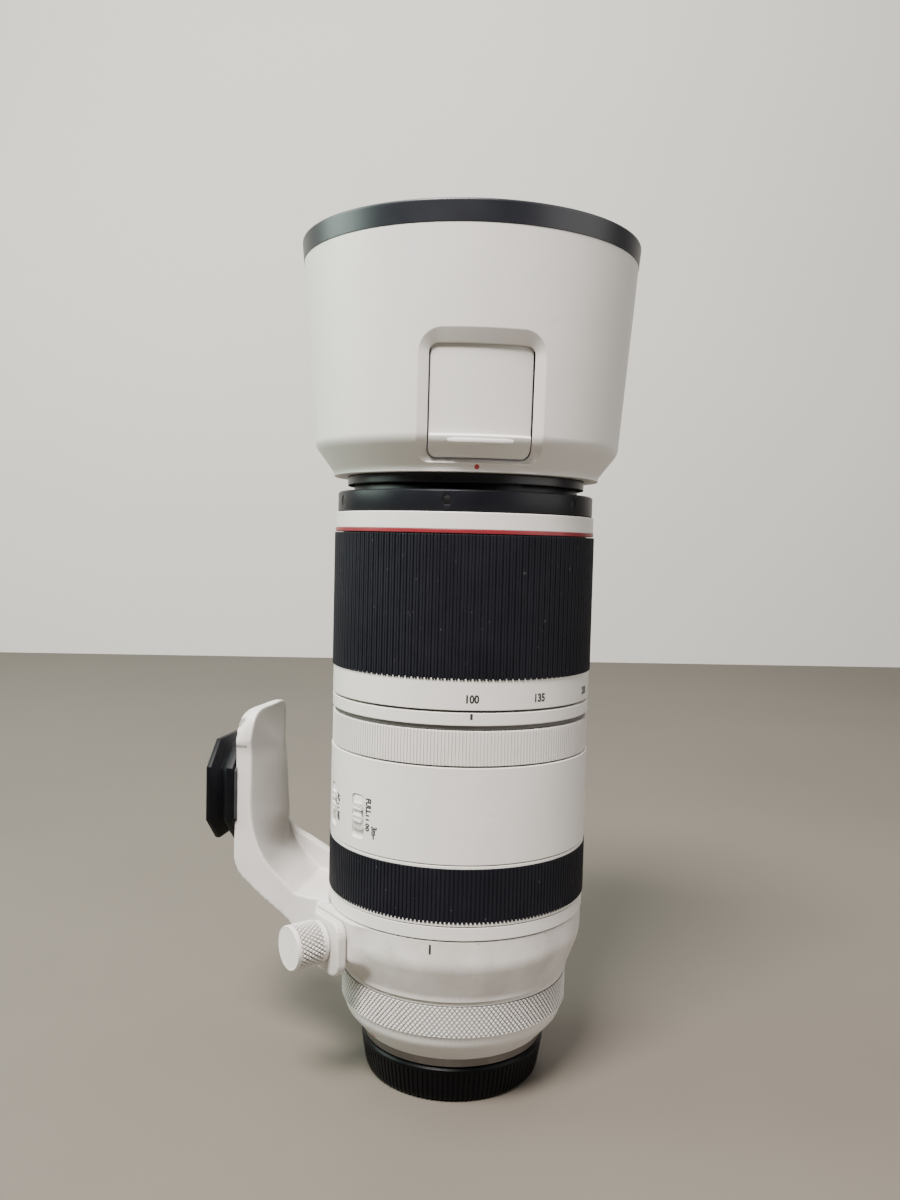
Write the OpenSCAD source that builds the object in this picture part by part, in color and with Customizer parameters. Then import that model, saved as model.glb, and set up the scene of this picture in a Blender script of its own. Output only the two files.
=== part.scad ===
// Telephoto zoom lens, standing on its rear cap with the hood fitted.
// Origin: centre of the rear cap's underside. +Z runs along the optical axis towards the front.
// The zoom index line faces -Y. Azimuths are in degrees from -Y, positive towards +X.

/* [Main barrel] */
// Outer radius of the main barrel
barrel_r = 46.8; // [45:0.1:50]
// Radial depth of the rings that turn on the core
ring_depth = 2.6; // [2.4:0.1:3.4]
// Clearance between pieces that move past each other
gap = 0.3; // [0.2:0.05:0.4]
// Wall of the white outer shells
shell_t = 1.8; // [1.4:0.1:2]
// Wall of the core tube that the rings turn on
core_t = 0.9; // [0.7:0.1:1.2]
// Height of the white body shell that holds the switches
body_h = 32.4; // [28:0.1:38]
// Height of the white ring in front of the collar
shoulder_h = 4.65; // [3:0.05:8]
// Height of the recessed line below the zoom index
groove_h = 1.2; // [0.8:0.1:2]
// Height of the band that carries the zoom index
index_h = 4.75; // [3:0.05:8]
// Height of the red ring
red_h = 1.3; // [0.8:0.1:3]
// Height of the white ring in front of the red ring
name_h = 5.6; // [4:0.1:9]

/* [Rear end] */
// Radial step from the main barrel in to the lens mount's flange
mount_step = 13.8; // [13:0.1:14.8]
// Height of the mount's visible flange
mount_h = 3.3; // [2.6:0.1:5]
// Width of the mount's flange outside its bayonet tube
flange_w = 7.7; // [7.4:0.1:8.2]
// Radial reach of the three bayonet claws
claw_reach = 1.5; // [1.2:0.1:1.6]
// Height of the white cone above the mount
taper_h = 6.9; // [5:0.1:10]
// Radial step from the mount's flange out to the white cone
taper_step = 1; // [0.7:0.1:2.5]
// Height of the smooth white band below the control ring
band_h = 4.1; // [3:0.1:7]
// Radial step from the main barrel in to the white band's upper edge
band_step = 5.9; // [5.4:0.1:6.2]
// Radial step from the white band's upper edge in to its lower edge
band_slant = 1; // [0.6:0.1:1.5]
// Height of the lip between control ring and collar
lip_h = 1.2; // [0.8:0.1:2]
// Radial step from the main barrel in to the lip between control ring and collar
lip_step = 5.7; // [5.2:0.1:6.2]

/* [Rear cap] */
// Height of the rear cap
cap_h = 13.1; // [12.6:0.1:14]
// Radial step from the mount's flange in to the rear cap's foot
cap_foot_step = 0.7; // [0:0.1:1.4]
// Radial step from the mount's flange out to the rear cap's top edge
cap_top_step = 0.8; // [0.2:0.1:2]
// Wall of the rear cap
cap_t = 2; // [1.5:0.1:2.4]

/* [Control ring] */
// Height of the knurled control ring
control_h = 10.3; // [7:0.1:14]
// Radial step from the main barrel in to the control ring
control_step = 5.5; // [4.8:0.1:6.2]
// Wall of the control ring
control_t = 2.3; // [1.6:0.1:2.6]

/* [Tripod collar] */
// Height of the tripod collar
collar_h = 22.7; // [20:0.1:26]
// Height of the collar's cone
collar_cone_h = 13.6; // [10:0.1:16]
// Radial step from the main barrel in to the collar
collar_step = 0.4; // [0.1:0.1:1.2]
// Radial step from the collar in to its lower edge
collar_slant = 4.5; // [3.4:0.1:5]
// Radial step from the collar in to the core tube inside it
collar_core_step = 6.4; // [6:0.1:6.9]

/* [Tripod foot] */
// Direction of the foot
foot_azimuth = -104.8; // [-110:0.1:-100]
// Distance from the main barrel's surface to the foot's outer face
foot_stand = 33.2; // [30:0.1:43]
// Width of the foot
foot_w = 34; // [30:0.5:40]
// Thickness of the foot along its edges
foot_edge_t = 6; // [4:0.5:8]
// Thickness of the foot in its middle
foot_mid_t = 11; // [9:0.5:13]
// Height of the foot's top
foot_top_z = 131; // [126:0.5:138]
// Radius of the bend between the foot's outer face and its arm
foot_bend_r = 12; // [9:0.5:15]
// Slope of the arm, in degrees from level
arm_slope = 40.6; // [38:0.2:43]
// Thickness of the arm
arm_t = 9.6; // [9:0.1:11]
// Thickness of the web on the far side of the arm
web_t = 4; // [3:0.5:6]

/* [Clamp knob] */
// Direction of the knob's axis
knob_azimuth = -58.2; // [-62:0.1:-56]
// Sideways offset of the knob's axis from the optical axis
knob_shift = -7; // [-9:0.5:-5]
// Height of the knob's axis
knob_z = 53.8; // [53:0.1:54.4]
// Radius of the knob's grip
knob_r = 7.7; // [6.5:0.1:9]
// Length of the knob's head
knob_l = 12.6; // [10:0.1:16]
// Radius of the knob's threaded stud
stud_r = 3; // [2.5:0.1:3.5]
// Thickness of the flange below the knob
flange_t = 3.5; // [3:0.1:4.5]
// Height of the pad on the collar behind the flange
pad_proud = 2.5; // [2:0.1:3]

/* [Quick release plate] */
// Side of the square plate
plate_w = 38; // [36:0.5:40]
// Thickness of the plate without its pad
plate_t = 10.5; // [9:0.5:12]
// Thickness of the rubber pad under the plate
pad_t = 1; // [0.6:0.1:1.5]
// Cut at the plate's corners
plate_cut = 9; // [7:0.5:11]
// Depth of the dovetail groove
dovetail_d = 3; // [2:0.5:4]
// Height of the plate's centre
plate_z = 99; // [97:0.5:105]
// Radius of the tripod thread
tripod_screw_r = 3.175; // [3.1:0.005:4.8]

/* [Focus ring] */
// Height of the focus ring's rubber
focus_rubber_h = 18.3; // [14:0.1:24]
// Height of the white edges beside the rubber
focus_edge_h = 1; // [0.8:0.1:2]
// Thickness of the rubber grips
rubber_t = 1.2; // [0.9:0.1:1.4]

/* [Switches] */
// Direction of the first switch
switch_azimuth = -51.3; // [-54:0.1:-48]
// Angle between neighbouring switches
switch_pitch = 23.4; // [20:0.1:26]
// Width of a switch slot
slot_w = 6.4; // [5:0.1:8]
// Height of a switch slot
slot_h = 14.8; // [14:0.1:17]
// Depth of a switch slot
slot_d = 0.9; // [0.8:0.05:1]
// Corner radius of a switch slot
slot_round_r = 1.6; // [0.8:0.1:2.2]
// Height of a slider with two positions
slider_h = 11.7; // [11:0.1:11.7]
// Height of a slider with three positions
long_slider_h = 9.2; // [8:0.1:9.2]

/* [Tension ring] */
// Height of the tension ring
tension_h = 11.75; // [9:0.05:15]

/* [Zoom] */
// Height of the band with the zoom scale
scale_h = 10.15; // [8:0.05:13]
// Height of the zoom ring's rubber
zoom_rubber_h = 47.3; // [46:0.1:52]
// Turn of the zoom ring from end to end
zoom_angle = 115; // [90:1:116]
// Travel of the front barrel
zoom_travel = 86; // [70:1:87]
// Travel of the inner zoom group
group_travel = 28; // [20:1:29]
// Wall of the two cam walls
cam_t = 0.9; // [0.8:0.1:1.1]
// Wall of the sliding front tube
slide_t = 1.1; // [0.9:0.1:1.3]
// Radius of the follower pins
pin_r = 1.4; // [1.2:0.1:1.6]

/* [Front end] */
// Height of the black front ring
bezel_h = 7; // [6:0.1:9]
// Radial step from the sliding front tube's bore in to the filter thread
filter_step = 2.2; // [2:0.1:3.2]
// Wall of the neck that carries the filter thread
neck_wall = 2.1; // [1.8:0.1:2.3]
// Height of the neck above the front ring
neck_h = 10; // [9:0.1:12]
// Height of the gap between front ring and hood
neck_gap = 2.3; // [1.5:0.1:3]

/* [Hood] */
// Height of the hood's black bayonet skirt below the white shell
skirt_h = 3.3; // [3:0.1:4]
// Radial step from the main barrel out to the hood's base
hood_base_step = 1; // [0.6:0.1:2.2]
// Width of the hood's chamfer between base and bend
hood_chamfer_w = 6.7; // [6.2:0.1:7.7]
// Widening of the hood's long cone between bend and rim band
hood_flare = 5.2; // [4:0.1:7]
// Height of the hood's straight base edge
hood_base_h = 1.2; // [0.8:0.1:1.5]
// Height of the hood's chamfer
hood_chamfer_h = 11; // [10:0.1:12]
// Height of the hood's long cone
hood_cone_h = 62.6; // [60:0.1:80]
// Height of the black rim band
rim_h = 7.1; // [5:0.1:10]
// Amount by which the rim band stands proud
rim_proud = 0.3; // [0.1:0.1:0.6]
// Wall of the hood's white shell
skin_t = 1.6; // [1.3:0.1:1.8]
// Wall of the hood's black liner
liner_t = 1; // [0.8:0.1:1.2]

/* [Hood window] */
// Width of the window in the hood
window_w = 33.6; // [30:0.1:36]
// Height of the window in the hood
window_h = 35.4; // [33:0.1:38]
// Height of the window's lower edge above the hood's base
window_rise = 3.8; // [3.4:0.1:4.4]
// Thickness of the sliding door
door_t = 1.2; // [1:0.1:1.4]
// Travel of the door
door_travel = 25.5; // [20:0.5:26]
// Width of the bevel beside the window
bevel_w = 3.6; // [2:0.1:4.5]
// Height of the bevel above the window
bevel_h = 4.4; // [3:0.1:6]
// Height of the bevel below the window
bevel_low_h = 1.2; // [0.6:0.1:2]

/* [Hidden] */
$fn = 144;
// Steps in a lens element's face
lens_steps = 12;
// Overrun of every cut past the surface that it opens
over = 1;
// Radial step between neighbouring rings
fine_step = 0.1;
// Drawing size of the wedges and blocks that trim revolved shapes
span = 4 * barrel_r;

// Heights of the pieces from the table upwards
z_mount = cap_h + gap;
z_taper = z_mount + mount_h;
z_band = z_taper + taper_h;
z_band_top = z_band + band_h;
z_control = z_band_top + gap;
z_lip = z_control + control_h + gap;
z_collar = z_lip + lip_h + gap;
z_collar_top = z_collar + collar_h;
z_shoulder = z_collar_top + gap;
z_focus = z_shoulder + shoulder_h + gap;
z_focus_rubber = z_focus + focus_edge_h;
z_focus_top = z_focus_rubber + focus_rubber_h + focus_edge_h;
z_body = z_focus_top + gap;
z_tension = z_body + body_h + gap;
z_index = z_tension + tension_h + gap;
z_index_top = z_index + groove_h + index_h;
z_zoom = z_index_top + gap;
z_zoom_rubber = z_zoom + scale_h;
z_zoom_top = z_zoom_rubber + zoom_rubber_h;
z_red = z_zoom_top + gap;
z_name = z_red + red_h;
z_name_top = z_name + name_h;
z_bezel = z_name_top + gap;
z_neck = z_bezel + bezel_h;
z_front = z_neck + neck_h;
z_skirt = z_neck + neck_gap;
z_hood = z_skirt + skirt_h;
z_hood_edge = z_hood + hood_base_h;
z_bend = z_hood_edge + hood_chamfer_h;
z_rim = z_bend + hood_cone_h;
z_top = z_rim + rim_h;

// Radii of the rear end, the collar and the hood
mount_r = barrel_r - mount_step;
mount_tube_r = mount_r - flange_w;
taper_r = mount_r + taper_step;
band_top_r = barrel_r - band_step;
band_low_r = band_top_r - band_slant;
cap_foot_r = mount_r - cap_foot_step;
cap_top_r = mount_r + cap_top_step;
control_r = barrel_r - control_step;
lip_r = barrel_r - lip_step;
collar_r = barrel_r - collar_step;
collar_low_r = collar_r - collar_slant;
collar_core_r = collar_r - collar_core_step;
foot_reach = barrel_r + foot_stand;
hood_base_r = barrel_r + hood_base_step;
hood_bend_r = hood_base_r + hood_chamfer_w;
hood_mouth_r = hood_bend_r + hood_flare;

// Nested radii of the barrel, from outside inwards
core_r = barrel_r - ring_depth;
core_in_r = core_r - core_t;
cam_r = core_in_r - gap;
cam_in_r = cam_r - cam_t;
slide_r = cam_in_r - gap;
slide_in_r = slide_r - slide_t;
filter_r = slide_in_r - filter_step;
inner_cam_r = slide_in_r - gap;
inner_cam_in_r = inner_cam_r - cam_t;
guide_r = inner_cam_in_r - gap;
guide_t = 0.9;
guide_in_r = guide_r - guide_t;
collar_in_r = collar_core_r + gap;
control_core_r = control_r - control_t - gap;
rear_core_in_r = control_core_r - 2.1 * core_t;
collar_core_in_r = min(guide_in_r, collar_core_r - core_t);

// Mount, contacts and rear cap
mount_bore_r = mount_tube_r - shell_t;
claw_t = 1.4;
claw_angle = 46;
claw_count = 3;
tab_t = 1.7;
tube_drop = 4.8;
z_tube = z_mount - tube_drop;
z_claw_top = z_tube + claw_t;
z_tab = z_claw_top + gap;
cap_bevel = 0.8;
mount_screw_r = 0.9;
mount_screw_head_r = 1.7;
mount_screw_head_h = 1.2;
mount_screw_count = 4;
mount_screw_circle_r = (mount_r + mount_tube_r) / 2;
flange_floor_t = 2;
contact_w = 16;
contact_t = 2.6;
contact_pin_r = 0.5;
contact_pin_count = 12;
contact_pitch = 1.24;
contact_circle_r = mount_bore_r - contact_t / 2;
contact_turn = contact_pitch / contact_circle_r * 180 / PI;
contact_proud = 0.4;

// Core barrel
core_foot_z = z_band + gap;
body_flange_h = 1.5;
core_top_z = z_body + body_flange_h;
shoulder_plate_t = 2;
guide_foot_z = z_shoulder + shoulder_plate_t;

// Zoom mechanism
cam_floor_t = 1.2;
z_cam = core_top_z + gap;
z_slide = z_cam + cam_floor_t + gap;
pin_inset = 4;
z_pin = z_slide + pin_inset;
z_pin_top = z_pin + zoom_travel;
slot_half = pin_r + gap;
drive_inset = 8;
z_drive = z_red - drive_inset;
cam_end_gap = 3;
cam_top_z = z_red - cam_end_gap;
core_seat_h = 1.3;
core_end_z = z_name + core_seat_h;
drive_screw_r = 1.5;
drive_azimuths = [0, 180];
pin_count = 3;
pin_azimuths = [for (i = [0 : pin_count - 1]) 60 + i * 360 / pin_count];
helix_steps = 24;
helix_fn = 4;
group_pin_inset = 9;
z_group = z_slide + group_pin_inset;
group_h = 13;
group_pin_z = z_group + group_h / 3;
group_pin_azimuths = [for (i = [0 : pin_count - 1]) i * 360 / pin_count];
guide_top_z = z_group + group_h + group_travel + 2 * gap;
group_r = guide_in_r - gap;
inner_cam_top_z = guide_top_z - 3 * gap;

// Optical groups
lens_seat = 1.5;
lens_rim = 3;
lens_bulge = 1.6;
front_cell_h = 24;
lens_lip = 0.9;
front_lens_r = filter_r - lens_lip;
front_cell_floor_t = 1.2;
group_wall = 14;
group_lens_r = group_r - group_wall;
stabilizer_rise = 1.4;
stabilizer_z = z_cam + stabilizer_rise;
stabilizer_plate_t = 1.4;
stabilizer_cell_h = 3.2;
stabilizer_room = 9.3;
stabilizer_cell_r = guide_in_r - stabilizer_room;
stabilizer_wall = 9;
stabilizer_lens_r = stabilizer_cell_r - stabilizer_wall;
stabilizer_shift = 0.8;
stabilizer_seat = 2;
stabilizer_rim = 0.4;
stabilizer_bulge = 0.8;
iris_h = 4;
iris_drop = 2.4;
iris_z = z_cam - iris_h - iris_drop;
blade_room = 9.3;
blade_w = 10;
blade_count = 9;
blade_t = 0.4;
blade_out_r = guide_in_r - blade_room;
blade_in_r = blade_out_r - blade_w;
iris_lip = 2;
iris_hole_r = blade_in_r - iris_lip;
rod_r = 1.5;
rod_clear = 0.06;
rod_room = 5.8;
rod_circle_r = collar_core_in_r - rod_room;
front_rod_azimuths = [20, 200];
rear_rod_azimuths = [110, 290];
rear_cell_rise = 6;
rear_cell_z = z_control + rear_cell_rise;
rear_cell_t = 2.6;
rear_cell_clear = 0.5;
rear_cell_wall = 2.5;
rear_cell_r = mount_bore_r - rear_cell_clear;
rear_lens_r = rear_cell_r - rear_cell_wall;
focus_cell_h = 5;
focus_arm = 5.5;
focus_wall = 6;
focus_cell_r = rod_circle_r - focus_arm;
focus_lens_r = focus_cell_r - focus_wall;
focus_hub_r = 3;
front_focus_drop = 20;
front_focus_z = iris_z - front_focus_drop;
rear_focus_rise = 5;
rear_focus_z = rear_cell_z + rear_cell_t + rear_focus_rise;
motor_azimuths = [65, 245];
motor_w = 12;
motor_t = 4.4;
motor_h = 34;
board_t = 1.5;

// Tripod collar, foot and plate
pad_face = collar_r + pad_proud;
pad_reach = 10;
pad_left = knob_shift - pad_reach;
pad_rise = 4;
pad_low_z = z_collar + pad_rise;
flange_back = pad_face + gap;
flange_face = flange_back + flange_t;
flange_right = 4.6;
flange_round_r = 5;
flange_rise = 3.4;
flange_low_z = z_collar + flange_rise;
clamp_w = 16.6;
flange_left = flange_right - clamp_w;
wing_step = 11;
stud_clear = 0.08;
arm_run = 21;
arm_drop = 10;
arm_rise = 2;
arm_bottom_reach = foot_reach - arm_run;
arm_bottom_z = z_collar_top - arm_drop;
arm_low_z = z_collar + arm_rise;
foot_bend_reach = foot_reach - foot_bend_r;
foot_bend_run = foot_bend_reach + foot_bend_r * sin(arm_slope) - arm_bottom_reach;
foot_low_z = arm_bottom_z + foot_bend_run * tan(arm_slope) + foot_bend_r * cos(arm_slope);
foot_steps = 16;
foot_in_mid = foot_reach - foot_mid_t;
foot_in_edge = foot_reach - foot_edge_t;
foot_arch_r = foot_w * 0.53;
wrap_r = collar_r + gap / 2;
wrap_t = 5.2;
wrap_angle = 90;
wrap_rise = 1;
web_rise = 6.4;
web_top_z = foot_low_z + web_rise;
web_foot_step = 1.2;
plate_outer = foot_reach + pad_t + plate_t;
plate_screw_head_r = 6.5;
plate_screw_head_h = 3;
plate_screw_l = 8;
hex_r = 2.8;
knob_step = 0.4;
pad_inset = 1;

// Switch sliders
slider_w = slot_w - 2 * gap;
slider_low = slot_d - gap;
slider_top_d = 0.15;
rib_pitch = 0.72;
rib_proud = 0.35;
rib_h = 0.55;
shank_w = 2.2;
shank_h = 3;
z_switch = z_body + body_h * 0.36;
switch_count = 4;
board_thick = 0.4;

// Hood
neck_r = filter_r + neck_wall;
neck_claw = 1;
skirt_in_r = neck_r + neck_claw + gap;
skirt_t = 0.9;
skirt_r = skirt_in_r + skirt_t;
hood_tab_t = 1.4;
hood_tab_rise = 1.5;
z_hood_tab = z_skirt + hood_tab_rise;
z_neck_claw = z_hood_tab + hood_tab_t + gap;
hood_tab_angle = 40;
cone_slope = (hood_mouth_r - hood_bend_r) / hood_cone_h;
chamfer_slope = (hood_bend_r - hood_base_r) / hood_chamfer_h;
z_window = z_hood + window_rise;
z_window_top = z_window + window_h;
window_round_r = 3.4;
window_land = 0.3;
pocket_d = door_t + 2 * gap;
door_margin = 1;
door_edge = gap + fine_step;
lip_drop = 0.8;
lip_top = z_bend - lip_drop;
lip_proud_d = 0.5;
ridge_w = 19.4;
ridge_h = 1.1;
ridge_proud = 0.6;
track_w = window_w + 2 * (door_margin + gap);
track_wall = 1.2;
track_top_z = z_window_top + door_travel + door_margin + 3 * gap;
button_azimuth = -90;
button_w = 9;
button_h = 5;
button_rise = 6.5;
button_z = z_hood + button_rise;
button_proud = 0.4;
button_round_r = 1.6;
button_travel = 1.5;
button_t = 2.4;
bezel_screw_count = 6;
bezel_screw_azimuth = -12;
bezel_screw_r = 0.9;
bezel_screw_head_r = 1.6;
bezel_screw_head_t = 0.9;
bezel_chamfer = 0.5;
bezel_roof = 1.2;
bezel_inset = 0.6;
bezel_r = barrel_r - bezel_inset;
bezel_seat_r = bezel_r - bezel_screw_head_t;
cone_tilt = atan(cone_slope);
chamfer_tilt = atan(chamfer_slope);

// Colours
white_paint = [0.85, 0.83, 0.80];
black_plastic = [0.07, 0.07, 0.08];
black_rubber = [0.05, 0.05, 0.06];
steel = [0.72, 0.72, 0.70];
brass = [0.78, 0.62, 0.30];
red_paint = [0.60, 0.07, 0.06];
board_green = [0.05, 0.25, 0.12];
glass_tint = [0.55, 0.65, 0.75, 0.4];

// A straight ring around the optical axis
module tube(outer, inner, low, high) {
    rotate_extrude() translate([inner, low]) square([outer - inner, high - low]);
}

// Turns what faces -Y to an azimuth
module at(azimuth) {
    rotate([0, 0, azimuth]) children();
}

// A ring with a rectangular section over part of a turn, centred on -Y
module arc(outer, inner, low, high, angle) {
    rotate([0, 0, -90 - angle / 2])
        rotate_extrude(angle = angle) translate([inner, low]) square([outer - inner, high - low]);
}

// A round peg that points outwards along -Y
module peg(r, from, to) {
    translate([0, -from, 0]) rotate([90, 0, 0]) cylinder(h = to - from, r = r, $fn = 36);
}

// A block that points outwards along -Y, centred sideways and in height
module tab(w, h, from, to) {
    translate([-w / 2, -to, -h / 2]) cube([w, to - from, h]);
}

// A flat rectangle with round corners
module round_rect(w, h, r) {
    square([w - 2 * r, h], center = true);
    square([w, h - 2 * r], center = true);
    for (x = [-1, 1], y = [-1, 1]) translate([x * (w / 2 - r), y * (h / 2 - r)]) circle(r = r, $fn = 48);
}

// A round-cornered peg that points outwards along -Y
module round_tab(w, h, r, from, to) {
    translate([0, -from, 0]) rotate([90, 0, 0]) linear_extrude(height = to - from) round_rect(w, h, r);
}

// Extrudes a side view of points [reach, height] across the foot, centred
module side_view(w, points) {
    rotate([90, 0, -90]) linear_extrude(height = w, center = true) polygon(points);
}

// A lens element on the optical axis: rim height, and how far each face bulges out or in
module lens(r, low, rim, top_bulge, low_bulge) {
    shares = [for (i = [0 : lens_steps]) i / lens_steps];
    back_shares = [for (i = [lens_steps : -1 : 0]) i / lens_steps];
    rotate_extrude() polygon(concat(
        [for (share = shares) [r * share, low - low_bulge * (1 - share * share)]],
        [for (share = back_shares) [r * share, low + rim + top_bulge * (1 - share * share)]]
    ));
}

// Pieces at the rear end

module rear_cap() {
    color(black_plastic) {
        rotate_extrude() polygon([
            [0, 0], [cap_foot_r - cap_bevel, 0], [cap_foot_r, cap_bevel], [cap_top_r, cap_h - cap_bevel],
            [cap_top_r - cap_bevel, cap_h], [cap_top_r - cap_t, cap_h], [cap_foot_r - cap_t, cap_t], [0, cap_t]
        ]);
        for (i = [0 : claw_count - 1]) at(i * 360 / claw_count)
            arc(cap_top_r - cap_t / 2, mount_tube_r + gap, z_tab, z_tab + tab_t, claw_angle);
    }
}

module mount_ring() {
    color(steel) difference() {
        union() {
            rotate_extrude() polygon([
                [mount_bore_r, z_tube], [mount_tube_r, z_tube], [mount_tube_r, z_mount],
                [mount_r, z_mount], [mount_r, z_taper], [mount_bore_r, z_taper]
            ]);
            for (i = [0 : claw_count - 1]) at(i * 360 / claw_count)
                arc(mount_tube_r + claw_reach, mount_tube_r - over / 2, z_tube, z_claw_top, claw_angle);
        }
        mount_screw_set();
    }
}

module mount_screw_set() {
    for (i = [0 : mount_screw_count - 1]) at(45 + i * 360 / mount_screw_count)
        translate([0, -mount_screw_circle_r, z_mount]) {
            cylinder(h = mount_screw_head_h, r = mount_screw_head_r, $fn = 36);
            cylinder(h = mount_h + flange_floor_t, r = mount_screw_r, $fn = 36);
        }
}

module mount_screws() {
    color(steel) mount_screw_set();
}

module contact_holder() {
    at(180) intersection() {
        tube(mount_bore_r, mount_bore_r - contact_t, z_tube + gap, z_taper);
        tab(contact_w, span, 0, span);
    }
}

module contact_pin_set() {
    for (i = [0 : contact_pin_count - 1]) at(180 + (i - (contact_pin_count - 1) / 2) * contact_turn)
        translate([0, -contact_circle_r, z_tube + gap - contact_proud])
            cylinder(h = contact_proud + contact_t, r = contact_pin_r, $fn = 24);
}

module contact_block() {
    color(black_plastic) difference() {
        contact_holder();
        contact_pin_set();
    }
}

module contact_pins() {
    color(brass) contact_pin_set();
}

module rear_barrel() {
    color(white_paint) difference() {
        rotate_extrude() polygon([
            [mount_tube_r, z_taper], [taper_r, z_taper], [band_low_r, z_band], [band_top_r, z_band_top],
            [control_core_r, z_band_top], [control_core_r, core_foot_z], [rear_core_in_r, core_foot_z],
            [rear_core_in_r, z_band - shell_t], [taper_r - shell_t, z_taper + flange_floor_t],
            [mount_tube_r, z_taper + flange_floor_t]
        ]);
        mount_screw_set();
    }
}

module control_ring() {
    color(white_paint) tube(control_r, control_r - control_t, z_control, z_control + control_h);
}

module core_barrel() {
    color(black_plastic) rotate_extrude() polygon([
        [rear_core_in_r, core_foot_z], [control_core_r, core_foot_z], [control_core_r, z_lip],
        [lip_r, z_lip], [lip_r, z_lip + lip_h], [collar_core_r, z_lip + lip_h],
        [collar_core_r, z_shoulder], [core_r, z_shoulder], [core_r, core_top_z], [cam_r - cam_t, core_top_z],
        [cam_r - cam_t, guide_foot_z], [collar_core_in_r, guide_foot_z], [collar_core_in_r, z_lip + lip_h],
        [rear_core_in_r, z_lip]
    ]);
}

module rear_cell() {
    color(black_plastic) {
        tube(rear_core_in_r, rear_lens_r, rear_cell_z, rear_cell_z + rear_cell_t);
        tube(rear_cell_r, rear_lens_r, z_taper + flange_floor_t, rear_cell_z);
    }
}

module rear_lenses() {
    color(glass_tint) {
        lens(rear_lens_r, z_taper + flange_floor_t + lens_seat, lens_rim, -lens_bulge / 2, -lens_bulge * 0.6);
        lens(rear_lens_r, rear_cell_z - lens_rim, lens_rim, lens_bulge, lens_bulge * 0.7);
    }
}

module main_board() {
    color(board_green) tube(rear_core_in_r - gap, rear_cell_r + gap, rear_cell_z - board_t, rear_cell_z);
}

// Tripod collar and foot

module pad_shape() {
    at(knob_azimuth) translate([0, 0, pad_low_z]) linear_extrude(height = z_collar_top - pad_low_z) polygon([
        [pad_left, -collar_in_r], [pad_left, -pad_face], [flange_right, -pad_face],
        [collar_r * 0.32, -collar_r * 0.947], [collar_r * 0.32, -collar_r * 0.9]
    ]);
}

module stud_hole(r) {
    at(knob_azimuth) translate([knob_shift, 0, knob_z]) peg(r, collar_core_r - 2 * shell_t, flange_face + over);
}

module tripod_ring() {
    color(white_paint) difference() {
        union() {
            rotate_extrude() polygon([
                [collar_in_r, z_collar], [collar_low_r, z_collar], [collar_r, z_collar + collar_cone_h],
                [collar_r, z_collar_top], [collar_in_r, z_collar_top]
            ]);
            pad_shape();
        }
        tube(collar_in_r, 0, z_collar - over, z_collar_top + over);
        stud_hole(stud_r + stud_clear);
    }
}

module clamp_flange() {
    height = z_collar_top - flange_low_z;
    at(knob_azimuth) {
        translate([(flange_right + flange_left) / 2, 0, (z_collar_top + flange_low_z) / 2])
            round_tab(clamp_w, height, flange_round_r, flange_back, flange_face);
        translate([0, 0, flange_low_z]) linear_extrude(height = height) polygon([
            [flange_left + flange_round_r, -flange_back], [flange_left + flange_round_r, -flange_face],
            [flange_left, -flange_face], [flange_left - wing_step, -flange_face + 2 * flange_t],
            [flange_left - 1.2 * wing_step, -flange_face + 4 * flange_t], [pad_left, -wrap_r + wrap_t]
        ]);
    }
}

// The foot's section across: flat outside, crowned towards the barrel
module foot_section(outer) {
    polygon(concat(
        [[foot_w / 2, -outer], [-foot_w / 2, -outer]],
        [for (i = [0 : foot_steps]) let (share = 2 * i / foot_steps - 1)
            [foot_w / 2 * share, -foot_in_edge + (foot_mid_t - foot_edge_t) * (1 - share * share)]]
    ));
}

module foot_plate_body() {
    difference() {
        intersection() {
            union() {
                translate([0, 0, foot_low_z]) linear_extrude(height = foot_top_z - foot_low_z) foot_section(foot_reach);
                translate([0, 0, foot_low_z - wrap_t]) linear_extrude(height = 2 * wrap_t) foot_section(foot_in_edge + over);
            }
            union() {
                translate([0, 0, foot_top_z - foot_arch_r]) peg(foot_arch_r, foot_in_mid, foot_reach);
                translate([0, 0, foot_low_z]) tab(foot_w, 2 * (foot_top_z - foot_arch_r - foot_low_z), foot_in_mid, foot_reach);
            }
        }
        translate([0, 0, plate_z]) peg(tripod_screw_r, foot_reach - plate_screw_l, foot_reach + over);
    }
}

function arm_top_z(reach) = arm_bottom_z + (reach - arm_bottom_reach) * tan(arm_slope) + arm_t / cos(arm_slope);

module foot_arm() {
    side_view(foot_w, concat(
        [[foot_reach, foot_low_z + wrap_t]],
        [for (i = [0 : foot_steps]) let (turn = -(90 - arm_slope) * i / foot_steps)
            [foot_bend_reach + foot_bend_r * cos(turn), foot_low_z + foot_bend_r * sin(turn)]],
        [
            [arm_bottom_reach, arm_bottom_z], [wrap_r + wrap_t, arm_low_z], [wrap_r - wrap_t, arm_low_z],
            [wrap_r - wrap_t, z_collar_top], [wrap_r + wrap_t, z_collar_top],
            [wrap_r + 2 * wrap_t, arm_top_z(wrap_r + 2 * wrap_t)], [foot_in_edge, arm_top_z(foot_in_edge)],
            [foot_in_edge, foot_low_z + wrap_t]
        ]
    ));
}

module foot_web() {
    translate([-(foot_w - web_t) / 2, 0, 0]) side_view(web_t, [
        [foot_in_edge, web_top_z], [foot_in_edge, foot_low_z], [wrap_r, z_collar_top - wrap_t],
        [wrap_r, z_collar_top], [wrap_r + web_foot_step, z_collar_top + wrap_t]
    ]);
}

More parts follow.
